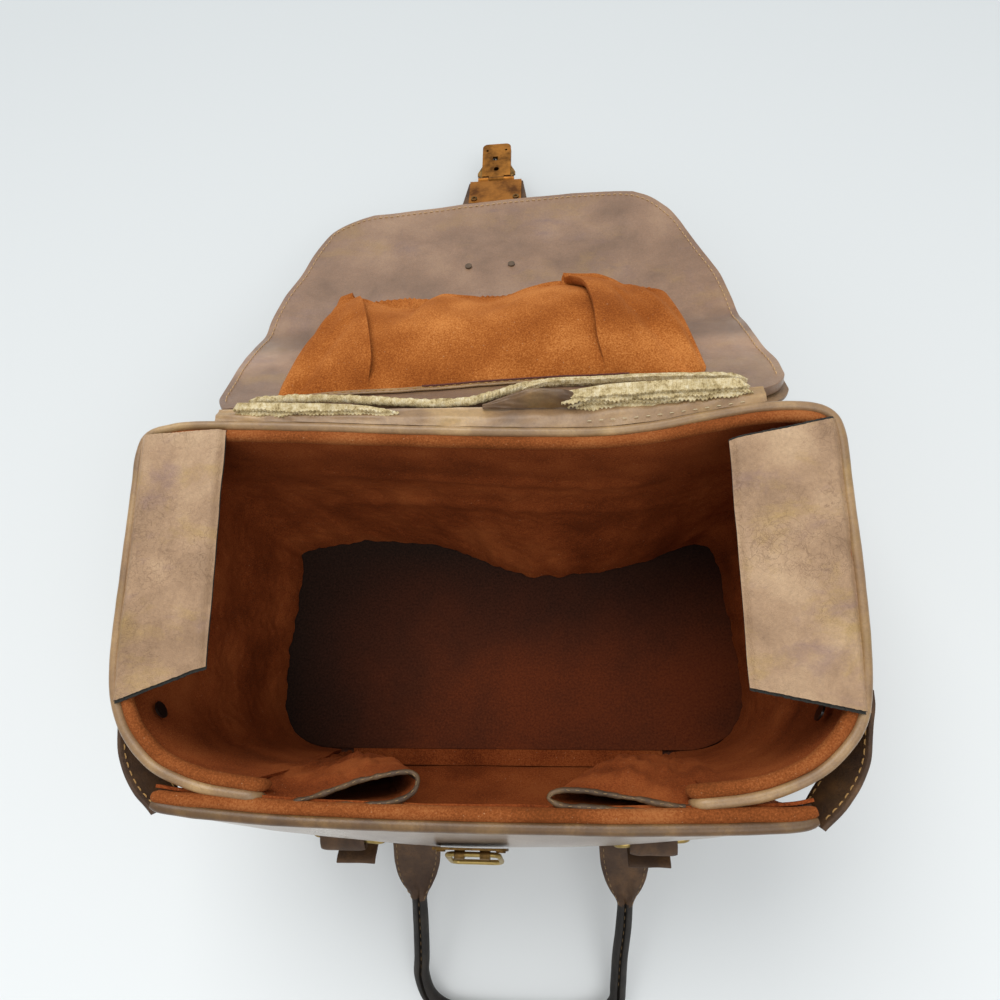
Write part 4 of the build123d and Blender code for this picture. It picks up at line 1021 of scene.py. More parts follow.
# Lid: one stiffened sheet across its crease
lidFrame = {
    "edge": (112.0, 166.0),
    "near": (106.0, -41.0),
    "far": -19.0,
    "front": 38.0,
    "bend": 38.0,
    "thickness": 5.2,
}
lidLeft = [
    (-2, -142), (4, -146), (12, -149), (28, -150), (72, -153), (112, -152.5), (140, -148),
    (160, -141.5), (187, -134), (200, -130), (210, -125.5), (219, -117.5), (226, -107), (231, -95),
]
lidRight = [
    (-2, 148), (2, 155), (8, 160.5), (16, 163.5), (26, 163.5), (54, 160), (109, 156), (142, 151),
    (169, 141.5), (190, 134), (203, 129), (213, 124.5), (222, 118), (230, 110.5), (237, 99),
]
lidFrontEdge = [(-98, 231), (-60, 234), (-37, 236.5), (15, 241), (50, 241.5), (75, 240.5), (104, 237)]


def lidPlace(s):
    # point and normal of the lid's inner face at s mm from its hinge edge, in the plane of y and z
    nearLength, nearSlope = lidFrame["near"]
    farSlope = lidFrame["far"]
    turn = math.radians(farSlope - nearSlope)
    tangent = lidFrame["bend"] * math.tan(turn / 2)
    a0, a1 = math.radians(nearSlope), math.radians(farSlope)
    y, z = lidFrame["edge"]
    straight = nearLength - tangent
    # s is measured along the two flats as if they met in a corner
    if s <= straight:
        return y + s * math.cos(a0), z + s * math.sin(a0), a0
    cornerY, cornerZ = y + nearLength * math.cos(a0), z + nearLength * math.sin(a0)
    if s >= nearLength + tangent:
        r = s - nearLength
        return cornerY + r * math.cos(a1), cornerZ + r * math.sin(a1), a1
    share = (s - straight) / (2 * tangent)
    a = a0 + turn * share
    cy = y + straight * math.cos(a0) - lidFrame["bend"] * math.sin(a0)
    cz = z + straight * math.sin(a0) + lidFrame["bend"] * math.cos(a0)
    return cy + lidFrame["bend"] * math.sin(a), cz - lidFrame["bend"] * math.cos(a), a


def lidPoint(x, s, height=0.0):
    y, z, a = lidPlace(s)
    relief = lidRelief(x, s) + height
    return mm(x, y - math.sin(a) * relief, z + math.cos(a) * relief)


def lidNormal(s):
    a = lidPlace(s)[2]
    return Vector((0, -math.sin(a), math.cos(a)))


def lidRelief(x, s):
    side = smoothstep(95, 155, abs(x - 3))
    near = 1 - smoothstep(88, 112, s)
    broad = 1.0 * wave(x / 1000, s / 1000, 0, 0.07, 3) + 0.35 * wave(x / 1000, s / 1000, 0, 0.018, 8)
    # beyond the pouch the near part curls up at both sides, with dents along the crease
    curl = 1.3 * side * bump(58, 34, s) * near - 0.9 * side * bump(104, 15, s)
    drag = (0.6 * side * math.sin(s / 15.0 + (0 if x < 0 else 1.3))
            * smoothstep(20, 60, s) * (1 - smoothstep(150, 200, s)))
    rolls = (0.8 * bump(0, 120, x) * math.sin((s - 120) / 13.0)
             * smoothstep(118, 140, s) * (1 - smoothstep(190, 215, s)))
    sway = (-1.6 * bump(-40, 70, x) * smoothstep(180, 240, s)
            + 1.2 * bump(90, 60, x) * smoothstep(180, 240, s))
    fine = 0.28 * wave(x / 1000, s / 2500, 0, 0.007, 4) * (0.4 + side)
    return broad + curl + drag + rolls + sway + fine


rows = []
for k in range(151):
    q = k / 150
    row = []
    for i in range(161):
        u = i / 160
        full = table(lidFrontEdge, mix(-95, 99, u))
        s = mix(-2, full, q)
        left, right = table(lidLeft, mix(-2, 231, q)), table(lidRight, mix(-2, 237, q))
        row.append((mix(left, right, u), s))
    rows.append(row)
lidShell = gridPiece("lidShell", [[lidPoint(x, s) for x, s in row] for row in rows])
outward(lidShell)
if sum(p.normal.z for p in lidShell.data.polygons) < 0:
    lidShell.data.flip_normals()
thicken(lidShell, mm(lidFrame["thickness"]), offset=-1.0)
outward(lidShell)
rounded(lidShell, mm(1.5), segments=3, angle=60)
smooth(lidShell, 35)
dress(lidShell, lidHide)
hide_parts("lid_skin", "lid_board", "lid_lining", "lid_front_skin", "lid_front_board",
            "lid_front_lining")


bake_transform(lidShell)

# edge stitches 4 mm inside the outline, all round but at the hinge
outline = [(table(lidLeft, s) + 4.2, s) for s in range(6, 206, 3)]
outline += [(-124, 208), (-117.5, 215.5), (-108, 222), (-96, 226.5)]
outline += [(x, table(lidFrontEdge, x) - 4.4) for x in range(-86, 92, 3)]
outline += [(100, 231.5), (109, 225), (117, 215.5), (122.5, 206.5)]
outline += [(table(lidRight, s) - 4.2, s) for s in range(200, 12, -3)]
seam = smoothPath([Vector((x, s, 0)) for x, s in outline], 4.3)
seamPoints, seamNormals = [], []
for p in seam:
    seamPoints.append(lidPoint(p.x, p.y, 0.15))
    seamNormals.append(lidNormal(p.y))
lidStitches = stitches("lidStitches", seamPoints, seamNormals, mm(3.0), mm(1.3), mm(0.36), None, lidThread,
                       wobble=0.25)
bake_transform(lidStitches)

# second layer that shows at the right hinge corner, and the first turn of the edge
rows = []
for k in range(40):
    s = mix(-7, 62, k / 39)
    row = []
    for i in range(12):
        x = mix(table(lidRight, max(s, -2)) - 16, table(lidRight, max(s + 3, -2)) + 2.4, i / 11)
        y, z, a = lidPlace(s)
        drop = -lidFrame["thickness"] - 0.8 - 1.6 * i / 11 + 0.6 * wave(x / 1000, s / 1000, 0, 0.03, 3)
        row.append(mm(x, y - math.sin(a) * drop, z + math.cos(a) * drop))
    rows.append(row)
underFlap = gridPiece("lidUnderEdge", rows)
thicken(underFlap, mm(1.8))
outward(underFlap)
smooth(underFlap, 40)
dress(underFlap, brownHide)
settle(underFlap, "lid", "brown_leatherette")
dress(nodes["lid_rivets"], plainFinish("rivetBrown", "#59452f", 0.6, scale=600.0))
print("stage: lid made")

# Pouch: a gathered bag of napped cloth on the lid
pouch = {
    "middle": 4.0,
    "half": 117.0,
    "seam": [(-113, 5), (-104, 7), (-80, 11), (-61, 13), (10, 17), (69, 20), (100, 19), (121, 17)],
    "mouth": [
        (-113, 60), (-108, 88), (-102, 106), (-97, 116), (-88, 116), (-80, 113), (-75, 108),
        (-66, 101), (-57, 99), (-48, 97), (-38, 107), (-29, 111), (-15, 107), (0, 101.5), (9, 101),
        (22, 108), (32, 114), (48, 117), (64, 118), (75, 114), (86, 105), (99, 108), (110, 106),
        (115, 90), (118, 60), (121, 35),
    ],
    "height": [
        (-113, 1.5), (-109, 9), (-103, 14), (-97, 20), (-84, 21.5), (-72, 19), (-58, 15.5),
        (-47, 15.5), (-37, 19.5), (-28, 21.5), (-14, 20.5), (1, 18.5), (12, 20), (24, 23), (36, 24.5),
        (50, 26.5), (66, 27), (76, 26), (86, 22), (98, 20.5), (108, 18), (114, 13), (118, 7),
        (121, 1.5),
    ],
    "belly": [(-113, 0), (-100, 3), (-70, 6), (-20, 8), (30, 8), (70, 6), (105, 3), (121, 0)],
    "leftPleat": [(0.0, -62.5), (0.25, -66), (0.5, -72), (0.75, -81), (0.92, -88), (1.0, -90)],
    "rightPleat": [
        (0.0, 69.5), (0.3, 67.8), (0.5, 65), (0.68, 60), (0.82, 54), (0.93, 49.5), (1.0, 48),
    ],
    "leftFold": (3.6, 3.0),
    "rightFold": (3.8, 3.4),
}
pouchColumns = {"left": 62, "middle": 150, "right": 76}
# folds of the cloth, each from one place to another with its height and width; most start at the
# gathered lower corners, left and right
pouchFolds = [
    ((-110, 0.12), (-93, 0.72), 4.2, 4.4), ((-103, 0.02), (-80, 0.5), -3.8, 4.0),
    ((-112, 0.35), (-88, 0.95), -2.8, 3.4), ((119, 0.10), (88, 0.96), 4.6, 4.8),
    ((113, 0.02), (80, 0.62), -4.2, 4.4), ((119, 0.3), (99, 0.98), -3.2, 3.8),
    ((-20, 0.55), (40, 0.85), -1.2, 9.0), ((-55, 0.35), (-30, 0.95), 1.2, 8.0),
    ((20, 0.15), (60, 0.6), 0.9, 9.0),
]
# the upper line of the pouch's back layer and its height over the lid
backEdge = [(-104, 116), (-80, 123), (-60, 123.5), (-30, 121), (5, 120.5), (40, 123), (86, 121.5),
            (100, 121), (114, 117)]
backHeight = [(-104, 4), (-90, 9), (0, 11), (90, 12), (108, 10), (114, 5)]


def pouchHeight(x, t):
    # height over the lid of the cloth before its pleats, t running from the seam to the mouth
    side = math.sqrt(max(0, 1 - abs((x - pouch["middle"]) / pouch["half"]) ** 6))
    rise = (1 - (1 - min(1, t / 0.9)) ** 2.3) ** 0.75
    h = (table(pouch["height"], x) * rise
         + table(pouch["belly"], x) * math.sin(math.pi * min(1, t / 0.94)) ** 1.1 * side)
    live = smoothstep(0.0, 0.07, t) * side
    h += (live * 1.7 * wave(x / 1000, t * 0.09, 0, 0.04, 12)
          + live * 0.5 * wave(x / 1000, t * 0.09, 0, 0.014, 5))
    for (x0, t0), (x1, t1), tall, wide in pouchFolds:
        share = ((x - x0) * (x1 - x0) + 1e4 * (t - t0) * (t1 - t0)) / ((x1 - x0) ** 2 + 1e4 * (t1 - t0) ** 2)
        share = min(1, max(0, share))
        away = math.hypot(x - mix(x0, x1, share), 100 * (t - mix(t0, t1, share)))
        h += live * tall * math.exp(-(away / wide) ** 2) * (1 - 0.5 * share)
    return h


def pouchSpot(x, t, lift=0.0):
    # a point of the cloth; along the way the cloth leans over the mouth's edge
    start, end = table(pouch["seam"], x), table(pouch["mouth"], x)
    pull = 3.0 * math.sin(math.pi * t) * smoothstep(95, 115, abs(x - 4)) * (1 if x > 0 else -1)
    return lidPoint(x + pull, mix(start, end, t), max(0.7, pouchHeight(x, t) + lift))


rows = []
for k in range(120):
    t = k / 119
    leftAt, rightAt = table(pouch["leftPleat"], t), table(pouch["rightPleat"], t)
    leftUp, leftOver = pouch["leftFold"]
    rightUp, rightOver = pouch["rightFold"]
    grown = smoothstep(0.0, 0.18, t)
    leftOver *= 1 - 0.7 * smoothstep(0.8, 1.0, t)
    rightOver *= 1 - 0.7 * smoothstep(0.8, 1.0, t)
    row = []
    for i in range(pouchColumns["left"]):
        # left of its pleat the cloth lies on top, and its edge reaches over the middle
        x = mix(-113, leftAt, (i / (pouchColumns["left"] - 1)) ** 0.8)
        near = math.exp((x - leftAt) / 9)
        row.append(pouchSpot(x, t, leftUp * near * grown) + mm(leftOver * near ** 3 * grown, 0, 0))
    row.append(pouchSpot(leftAt, t, (leftUp - 2.0) * grown) + mm((leftOver + 0.2) * grown, 0, 0))
    row.append(pouchSpot(leftAt, t, -1.5 * grown) + mm(1.0, 0, 0))
    row.append(pouchSpot(leftAt, t, -3.0 * grown) + mm(-1.6 * grown, 0, 0))
    for i in range(pouchColumns["middle"]):
        x = mix(leftAt, rightAt, i / (pouchColumns["middle"] - 1))
        near = -2.6 * math.exp((leftAt - x) / 8) - 2.8 * math.exp((x - rightAt) / 8)
        row.append(pouchSpot(x, t, near * grown) + mm(0.6 * math.exp((leftAt - x) / 3), 0, 0))
    row.append(pouchSpot(rightAt, t, -3.0 * grown) + mm(1.6 * grown, 0, 0))
    row.append(pouchSpot(rightAt, t, -1.5 * grown) + mm(-1.0, 0, 0))
    row.append(pouchSpot(rightAt, t, (rightUp - 2.0) * grown) + mm(-(rightOver + 0.2) * grown, 0, 0))
    for i in range(pouchColumns["right"]):
        x = mix(rightAt, 121, (i / (pouchColumns["right"] - 1)) ** 1.2)
        near = math.exp((rightAt - x) / 11)
        row.append(pouchSpot(x, t, rightUp * near * grown) - mm(rightOver * near ** 3 * grown, 0, 0))
    rows.append(row)
# the hem turns in at the mouth and runs back a little inside
edge = rows[-1]
for ahead, sink in ((0.9, 0.5), (1.3, 1.7), (0.7, 3.0), (-1.5, 4.2), (-5.0, 5.2), (-9.0, 6.0)):
    normal = lidNormal(110)
    along = lidPoint(0, 111) - lidPoint(0, 110)
    rows.append([p + along * ahead - normal * mm(min(sink, 0.6 * max(0.7, pouchHeight(p.x * 1000, 1.0))))
                 for p in edge])
pouchCloth = gridPiece("pouchCloth", rows)
if sum(p.normal.z for p in pouchCloth.data.polygons) < 0:
    pouchCloth.data.flip_normals()
thicken(pouchCloth, mm(1.0), offset=-1.0)
outward(pouchCloth)
smooth(pouchCloth, 70)
dress(pouchCloth, litPouchNap)
settle(pouchCloth, "lid", "rust_lining", "lid_pouch", "pouch_elastic")

# back layer of the pouch, ruched on its elastic, seen over the mouth's dips
rows = []
for k in range(22):
    t = k / 21
    row = []
    for i in range(300):
        x = mix(-104, 114, i / 299)
        s = mix(66, table(backEdge, x), t)
        ruffle = (math.sin(x * 1.7 + 1.4 * math.sin(x * 0.23)) * smoothstep(0.5, 0.9, t)
                  * (1 + wave(x / 1000, 0, 0, 0.01, 2)))
        tall = mix(2.0, table(backHeight, x), smoothstep(0.2, 1.0, t))
        lift = tall + 0.38 * ruffle + 0.5 * wave(x / 1000, t * 0.05, 0, 0.01, 3)
        row.append(lidPoint(x, s + 0.10 * ruffle, lift))
    rows.append(row)
pouchBack = gridPiece("pouchBack", rows)
thicken(pouchBack, mm(1.2))
outward(pouchBack)
smooth(pouchBack, 60)
dress(pouchBack, litPouchNap)
settle(pouchBack, "lid", "rust_lining")

# binding strip that holds the pouch at its hinge side
path = [lidPoint(x, table(pouch["seam"], x) - 2.2, 1.1) for x in range(-112, 121, 2)]
binding = band("pouchBindingVisual", path, mm(4.4), mm(1.2), Vector((0, 0.75, -0.66)), edge=mm(0.4))
dress(binding, pipingHide)
settle(binding, "lid", "taupe_piping", "pouch_binding")
edgeLine = tube("pouchBindingEdge", [p + mm(0, 1.2, 0.7) for p in path[40:98]], 0.0005, sides=8)
dress(edgeLine, redCut)
settle(edgeLine, "lid", "taupe_piping")
stitches("pouchStitches", [p + mm(0, 0, 0.9) for p in path[4:-4]], lidNormal(20), mm(2.4), mm(2.0), mm(0.3),
         "lid", thread, wobble=0.4)
print("stage: pouch made")

# Hinge: torn canvas and foam lips, the sewn strip on the case and its curled end
def ragged(name, path, width, height, seed, material, body, slot, replaced=(), lift=(0, 0, 1), frayed=0.5,
           sides=14):
    # a torn edge: a flattened rope whose section wanders, with short ribs across it
    rows = []
    count = len(path)
    for i, point in enumerate(path):
        along = (path[min(i + 1, count - 1)] - path[max(i - 1, 0)]).normalized()
        up = Vector(lift)
        side = along.cross(up).normalized()
        top = side.cross(along).normalized()
        ends = min(1, i / 8, (count - 1 - i) / 8) ** 0.6 + 0.05
        rib = 1 + 0.16 * math.sin(i * 1.15 + 1.5 * wave(i / 40, seed, 0, 1, 1)) * frayed
        row = []
        for k in range(sides):
            a = 2 * math.pi * k / sides
            across, rise = 0.004 * math.cos(a), 0.004 * math.sin(a)
            rough = 1 + frayed * (0.55 * wave(point.x + across, point.y, point.z + rise, 0.0045, seed)
                                  + 0.45 * wave(point.x, point.y + across, rise, 0.012, seed + 3))
            row.append(point + (side * math.cos(a) * width / 2000 + top * math.sin(a) * height / 2000)
                       * rough * rib * ends)
        rows.append(row)
    piece = gridPiece(name, rows, closedAcross=True)
    capEnds(piece, sides, count)
    outward(piece)
    smooth(piece, 60)
    dress(piece, material)
    settle(piece, body, slot, *replaced)
    return piece


# the upper torn edge: a slim ribbed rope that broadens into a smooth pale band at the right
ropePath = [
    (-128, 2.2), (-112, 2.6), (-99, 2.2), (-84, 1.4), (-70, 0.6), (-56, -1.5), (-42, -4), (-25, -6.8),
    (-10, -7.6), (-2, -6.5), (8, -2), (20, 5), (30, 9.4), (44, 11.0), (66, 11.6), (92, 11.8),
    (119, 11.4), (133, 9.8), (141, 7.5),
]
ropeLine = smoothPath([lidPoint(x, s, 1.6) for x, s in ropePath], 0.0008)
ragged("hingeLipUpper", ropeLine, 4.6, 4.0, 3, foam, "lid", "hinge_foam", ["hinge_lip_lid"], frayed=0.42)


def tornLayer(name, back, front, thickness, seed, body, place, jag=1.0, ripple=0.6):
    # a flaky layer of foam on canvas between two lines, its front edge torn and fringed
    count = 190
    rows = []
    for k in range(10):
        t = k / 9
        row = []
        for i in range(count):
            u = i / (count - 1)
            a, b = back(u), front(u)
            x, depth, z = (mix(a[n], b[n], t) for n in range(3))
            # threads of the canvas end in a fringe with a pitch of about 2 mm
            torn = (1.5 * wave(x / 1000, seed, 0, 0.011, seed)
                    + 0.7 * wave(x / 1000, seed, 0, 0.0035, seed + 1)
                    + 0.42 * math.sin(x * 3.0 + 2 * wave(x / 1000, 0, 0, 0.02, seed)))
            depth -= torn * jag * t ** 2.2
            z += ripple * (wave(x / 1000, t * 0.006, 0, 0.007, seed + 4) * 1.1
                           + 0.8 * wave(x / 1000, t * 0.012, 0, 0.022, seed + 7)) * (0.4 + 0.6 * t)
            ends = min(1, u / 0.03, (1 - u) / 0.03)
            row.append(place(x, depth, z - 0.8 * (1 - ends)))
        rows.append(row)
    piece = gridPiece(name, rows)
    thicken(piece, mm(thickness), offset=0.0)
    outward(piece)
    smooth(piece, 45)
    dress(piece, foam)
    settle(piece, body, "hinge_foam")
    return piece


def edgeReader(points):
    # x, depth and height of a torn edge at a share of its length
    low, high = points[0][0], points[-1][0]

    def read(u):
        x = mix(low, high, u)
        return x, table([(p[0], p[1]) for p in points], x), table([(p[0], p[2]) for p in points], x)
    return read


def onCase(x, depth, z):
    return mm(x, depth, z)


def onLidFace(x, depth, z):
    return lidPoint(x, depth, z)


upperBack = [(24, 6.5, 1.6), (40, 12.6, 2.6), (66, 13.6, 2.8), (92, 13.8, 2.8), (119, 13.2, 2.6),
             (140, 9.5, 2.0)]
upperFront = [(24, 4.0, 1.4), (40, 7.4, 3.0), (66, 7.8, 3.4), (92, 8.2, 3.4), (119, 8.0, 3.2),
              (142, 5.0, 2.0)]
tornLayer("hingeBandUpper", edgeReader(upperBack), edgeReader(upperFront), 2.2, 8, "lid", onLidFace,
          jag=0.35, ripple=0.35)
# each flake's back line, front line, thickness, seed, depth of its tears and ripple
caseLayers = {
    "a": (
        [(-128, 108.6, 178.6), (-96, 107.0, 179.2), (-60, 104.6, 178.8), (-43, 101.2, 177.4)],
        [(-130, 104.0, 179.4), (-96, 102.4, 180.0), (-60, 101.4, 179.2), (-40, 99.8, 177.6)],
        1.5, 5, 0.8, 0.7,
    ),
    "b": (
        [(-126, 107.6, 177.0), (-96, 106.0, 177.6), (-48, 103.0, 177.2)],
        [(-129, 101.8, 177.6), (-96, 100.6, 178.4), (-70, 100.2, 178.0), (-41, 99.2, 176.8)],
        1.2, 11, 1.0, 0.9,
    ),
    "c": (
        [(-118, 106.0, 175.8), (-50, 103.0, 175.8)],
        [(-124, 100.2, 176.0), (-84, 99.4, 176.8), (-44, 98.4, 175.8)],
        1.1, 19, 1.1, 1.0,
    ),
    "d": (
        [(48, 108.0, 179.6), (76, 110.8, 180.4), (108, 111.4, 180.4), (134, 111.4, 179.6)],
        [(48, 103.4, 180.6), (76, 104.2, 181.8), (108, 104.8, 181.8), (139, 106.4, 180.4)],
        1.5, 7, 0.6, 0.6,
    ),
    "e": (
        [(46, 105.6, 179.0), (76, 107.2, 179.6), (108, 107.6, 179.8), (134, 108.4, 179.0)],
        [(45, 101.6, 179.2), (76, 102.0, 180.2), (108, 102.6, 180.4), (140, 105.2, 179.2)],
        1.2, 13, 1.1, 1.0,
    ),
    "f": (
        [(52, 105.0, 177.6), (80, 106.2, 178.2), (110, 106.8, 178.4), (136, 107.8, 177.8)],
        [(48, 100.6, 177.6), (80, 100.4, 178.8), (110, 101.0, 178.8), (141, 104.0, 177.8)],
        1.2, 17, 1.2, 1.0,
    ),
    "g": (
        [(58, 104.0, 176.4), (96, 105.2, 176.8), (136, 107.0, 176.6)],
        [(52, 99.6, 176.2), (84, 99.0, 176.9), (112, 99.8, 177.0), (141, 102.8, 176.4)],
        1.1, 23, 1.2, 0.9,
    ),
}
for key, (back, front, thickness, seed, jag, ripple) in caseLayers.items():
    layer = tornLayer(f"hingeLipLower_{key}", edgeReader(back), edgeReader(front), thickness, seed, "case",
                      onCase, jag, ripple)
    if key == "a":
        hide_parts("hinge_lip_case")

# the strip: leatherette from the case's back over the rim, with white stitches at its right
stripFront = [(-140, 97.5), (-92, 95.3), (-39, 91.8), (13, 88.8), (59, 87.2), (89, 89), (114, 93.2),
              (147, 97.6)]
stripBack = [(-140, 107), (-45, 104), (20, 103), (52, 104), (92, 107), (147, 109)]
rows = []
for k in range(22):
    t = k / 21
    row = []
    for i in range(150):
        x = mix(-140, 147, i / 149)
        y = mix(table(stripFront, x) + 1.6, table(stripBack, x), t)
        z = (mix(178.2, 174.5, smoothstep(0.35, 1, t)) + 0.7 * wave(x / 1000, t * 0.02, 0, 0.02, 5)
             + 0.5 * wave(x / 1000, t * 0.02, 0, 0.008, 9))
        row.append(mm(x, y, z))
    rows.append(row)
hingeStrip = gridPiece("hingeStripVisual", rows)
outward(hingeStrip)
if sum(p.normal.z for p in hingeStrip.data.polygons) < 0:
    hingeStrip.data.flip_normals()
thicken(hingeStrip, mm(1.4))
outward(hingeStrip)
smooth(hingeStrip, 50)
dress(hingeStrip, pipingHide)
settle(hingeStrip, "case", "brown_leatherette", "hinge_strip")
dashes = smoothPath([mm(x, y, 178.9) for x, y in [(56, 91.6), (84, 93), (100, 94.6), (114, 96.2),
                                                  (126, 97.8), (138, 99.4)]], 0.001)
stitches("hingeStitches", dashes, Vector((0, 0, 1)), mm(2.3), mm(3.4), mm(0.24), "case", paleThread)

# curled end of the torn strip, dark on its inner side
rows = []
for k in range(26):
    t = k / 25
    row = []
    for i in range(40):
        x = mix(4, 54, i / 39)
        tall = table([(4, 0.4), (20, 3.0), (34, 6.4), (46, 6.8), (54, 2.6)], x)
        y = mix(table([(4, 101.4), (54, 100.2)], x), table([(4, 103.6), (30, 109.4), (54, 106.8)], x), t)
        z = 176.4 + tall * math.sin(math.pi * 0.62 * t) + 0.4 * wave(x / 1000, t * 0.03, 0, 0.006, 4)
        row.append(mm(x, y, z))
    rows.append(row)
curl = gridPiece("hingeCurl", rows)
thicken(curl, mm(1.4))
outward(curl)
smooth(curl, 50)
dress(curl, frontPipingHide)
settle(curl, "case", "brown_leatherette")
print("stage: hinge made")

# Carrying handle: stitched tapered tabs, folded legs, rolled grip
handle = {
    "pivot": (-120.152, 68.093),
    "slope": 208.257,
    "half": [
        (0, 13.4), (8, 14.2), (18, 13.9), (28, 12.2), (36, 9.2), (42, 5.8), (47, 4.5), (60, 4.7),
        (400, 5.0),
    ],
    "tall": [(0, 1.6), (24, 1.7), (38, 2.6), (46, 3.7), (56, 4.4), (400, 4.6)],
    "line": [
        (-47, 0), (-47.4, 14), (-48.6, 30), (-48.2, 46), (-48.6, 66), (-49.6, 88), (-50.6, 102),
        (-46.5, 118), (-35, 128), (-16, 131), (13, 131.6), (42, 131), (60, 127), (68.5, 117),
        (70, 104), (71.2, 84), (73.4, 64), (74.6, 46), (74.8, 28), (74.4, 14), (74.2, 0),
    ],
}


def handlePoint(x, u, lift=0.0):
    a = math.radians(handle["slope"])
    y, z = handle["pivot"]
    return mm(x, y + u * math.cos(a) + lift * math.sin(a), z + u * math.sin(a) - lift * math.cos(a))


def handleSurface(w, half, away):
    # upper and lower face heights of the strap, w mm from its middle and away mm from its end
    tall = table(handle["tall"], away)
    rolled = smoothstep(36, 50, away)
    rise = tall * max(0.0, 1 - abs(w / half) ** mix(9, 2.4, rolled)) ** 0.5
    cup = 1.1 * smoothstep(4, 30, away) * (1 - smoothstep(36, 48, away)) * (1 - (w / half) ** 2)
    fan = 0.7 * math.sin(w / half * 9) * smoothstep(20, 34, away) * (1 - smoothstep(40, 48, away))
    groove = rolled * 2.3 * math.exp(-(w / 0.6) ** 2)
    bead = rolled * 0.5 * (math.exp(-((abs(w) - 1.4) / 0.5) ** 2))
    return rise - cup + fan - groove + bead, -rise - 0.6 * cup


center = smoothPath([Vector((x, u, 0)) for x, u in handle["line"]], 1.2)
total = len(center) - 1
handleNormal = (handlePoint(0, 0, 1) - handlePoint(0, 0)).normalized()
rows = []
for i, p in enumerate(center):
    along = (center[min(i + 1, total)] - center[max(i - 1, 0)]).normalized()
    across = Vector((along.y, -along.x, 0))
    away = min(i, total - i) * 1.2
    half = table(handle["half"], away) * (1 + 0.02 * wave(away / 1000, 0, 0, 0.012, 3))
    spread = [math.sin(math.pi / 2 * (k / 16 * 2 - 1)) for k in range(17)]
    upper, lower = [], []
    for share in spread:
        w = half * share
        high, low = handleSurface(w, half, away)
        place = p + across * w
        upper.append(handlePoint(place.x, place.y, high))
        lower.append(handlePoint(place.x, place.y, low))
    rows.append(upper + lower[-2:0:-1])
handlePiece = gridPiece("handleVisual", rows, closedAcross=True)
capEnds(handlePiece, len(rows[0]), len(rows))
outward(handlePiece)
smooth(handlePiece, 50)
dress(handlePiece, strapHide, legHide)
handleWay = (handlePoint(0, 1) - handlePoint(0, 0)).normalized()
for polygon in handlePiece.data.polygons:
    # the grip and legs are black with wear, the tabs are still brown
    reach = (polygon.center - handlePoint(0, 0)).dot(handleWay) * 1000
    worn = reach > 45 + 1.5 * wave(polygon.center.x, reach / 1000, 0, 0.004, 2)
    polygon.material_index = 1 if worn else 0
settle(handlePiece, "handle", "dark_leather", "handle", "handle_core")
tabLines = {"left": [(0, -47.0), (14, -47.4), (30, -48.6), (46, -48.2)],
            "right": [(0, 74.2), (14, 74.4), (28, 74.8), (46, 74.6)]}
for key, tabLine in tabLines.items():
    for edge in (-1, 1):
        seam = []
        for u in range(3, 47, 2):
            half = table(handle["half"], u) - mix(2.3, 1.3, smoothstep(30, 44, u))
            face = handleSurface(half, table(handle["half"], u), u)[0]
            seam.append(handlePoint(table(tabLine, u) + edge * half, u, face + 0.1))
        stitches(f"handleStitches_{key}_{edge + 1}", seam, handleNormal, mm(2.2), mm(1.9), mm(0.24),
                 "handle", dullThread)
# pale thread lies deep in the groove of each leg
for key, points in (("left", handle["line"][3:7]), ("right", handle["line"][14:18])):
    seam = smoothPath([handlePoint(x, u, 2.6) for x, u in points], 0.002)
    stitches(f"handleGroove_{key}", seam, handleNormal, mm(2.6), mm(2.8), mm(0.2), "handle", dullThread)
for name in ("handle_anchor_left", "handle_anchor_right"):
    dress(nodes[name], strapHide)

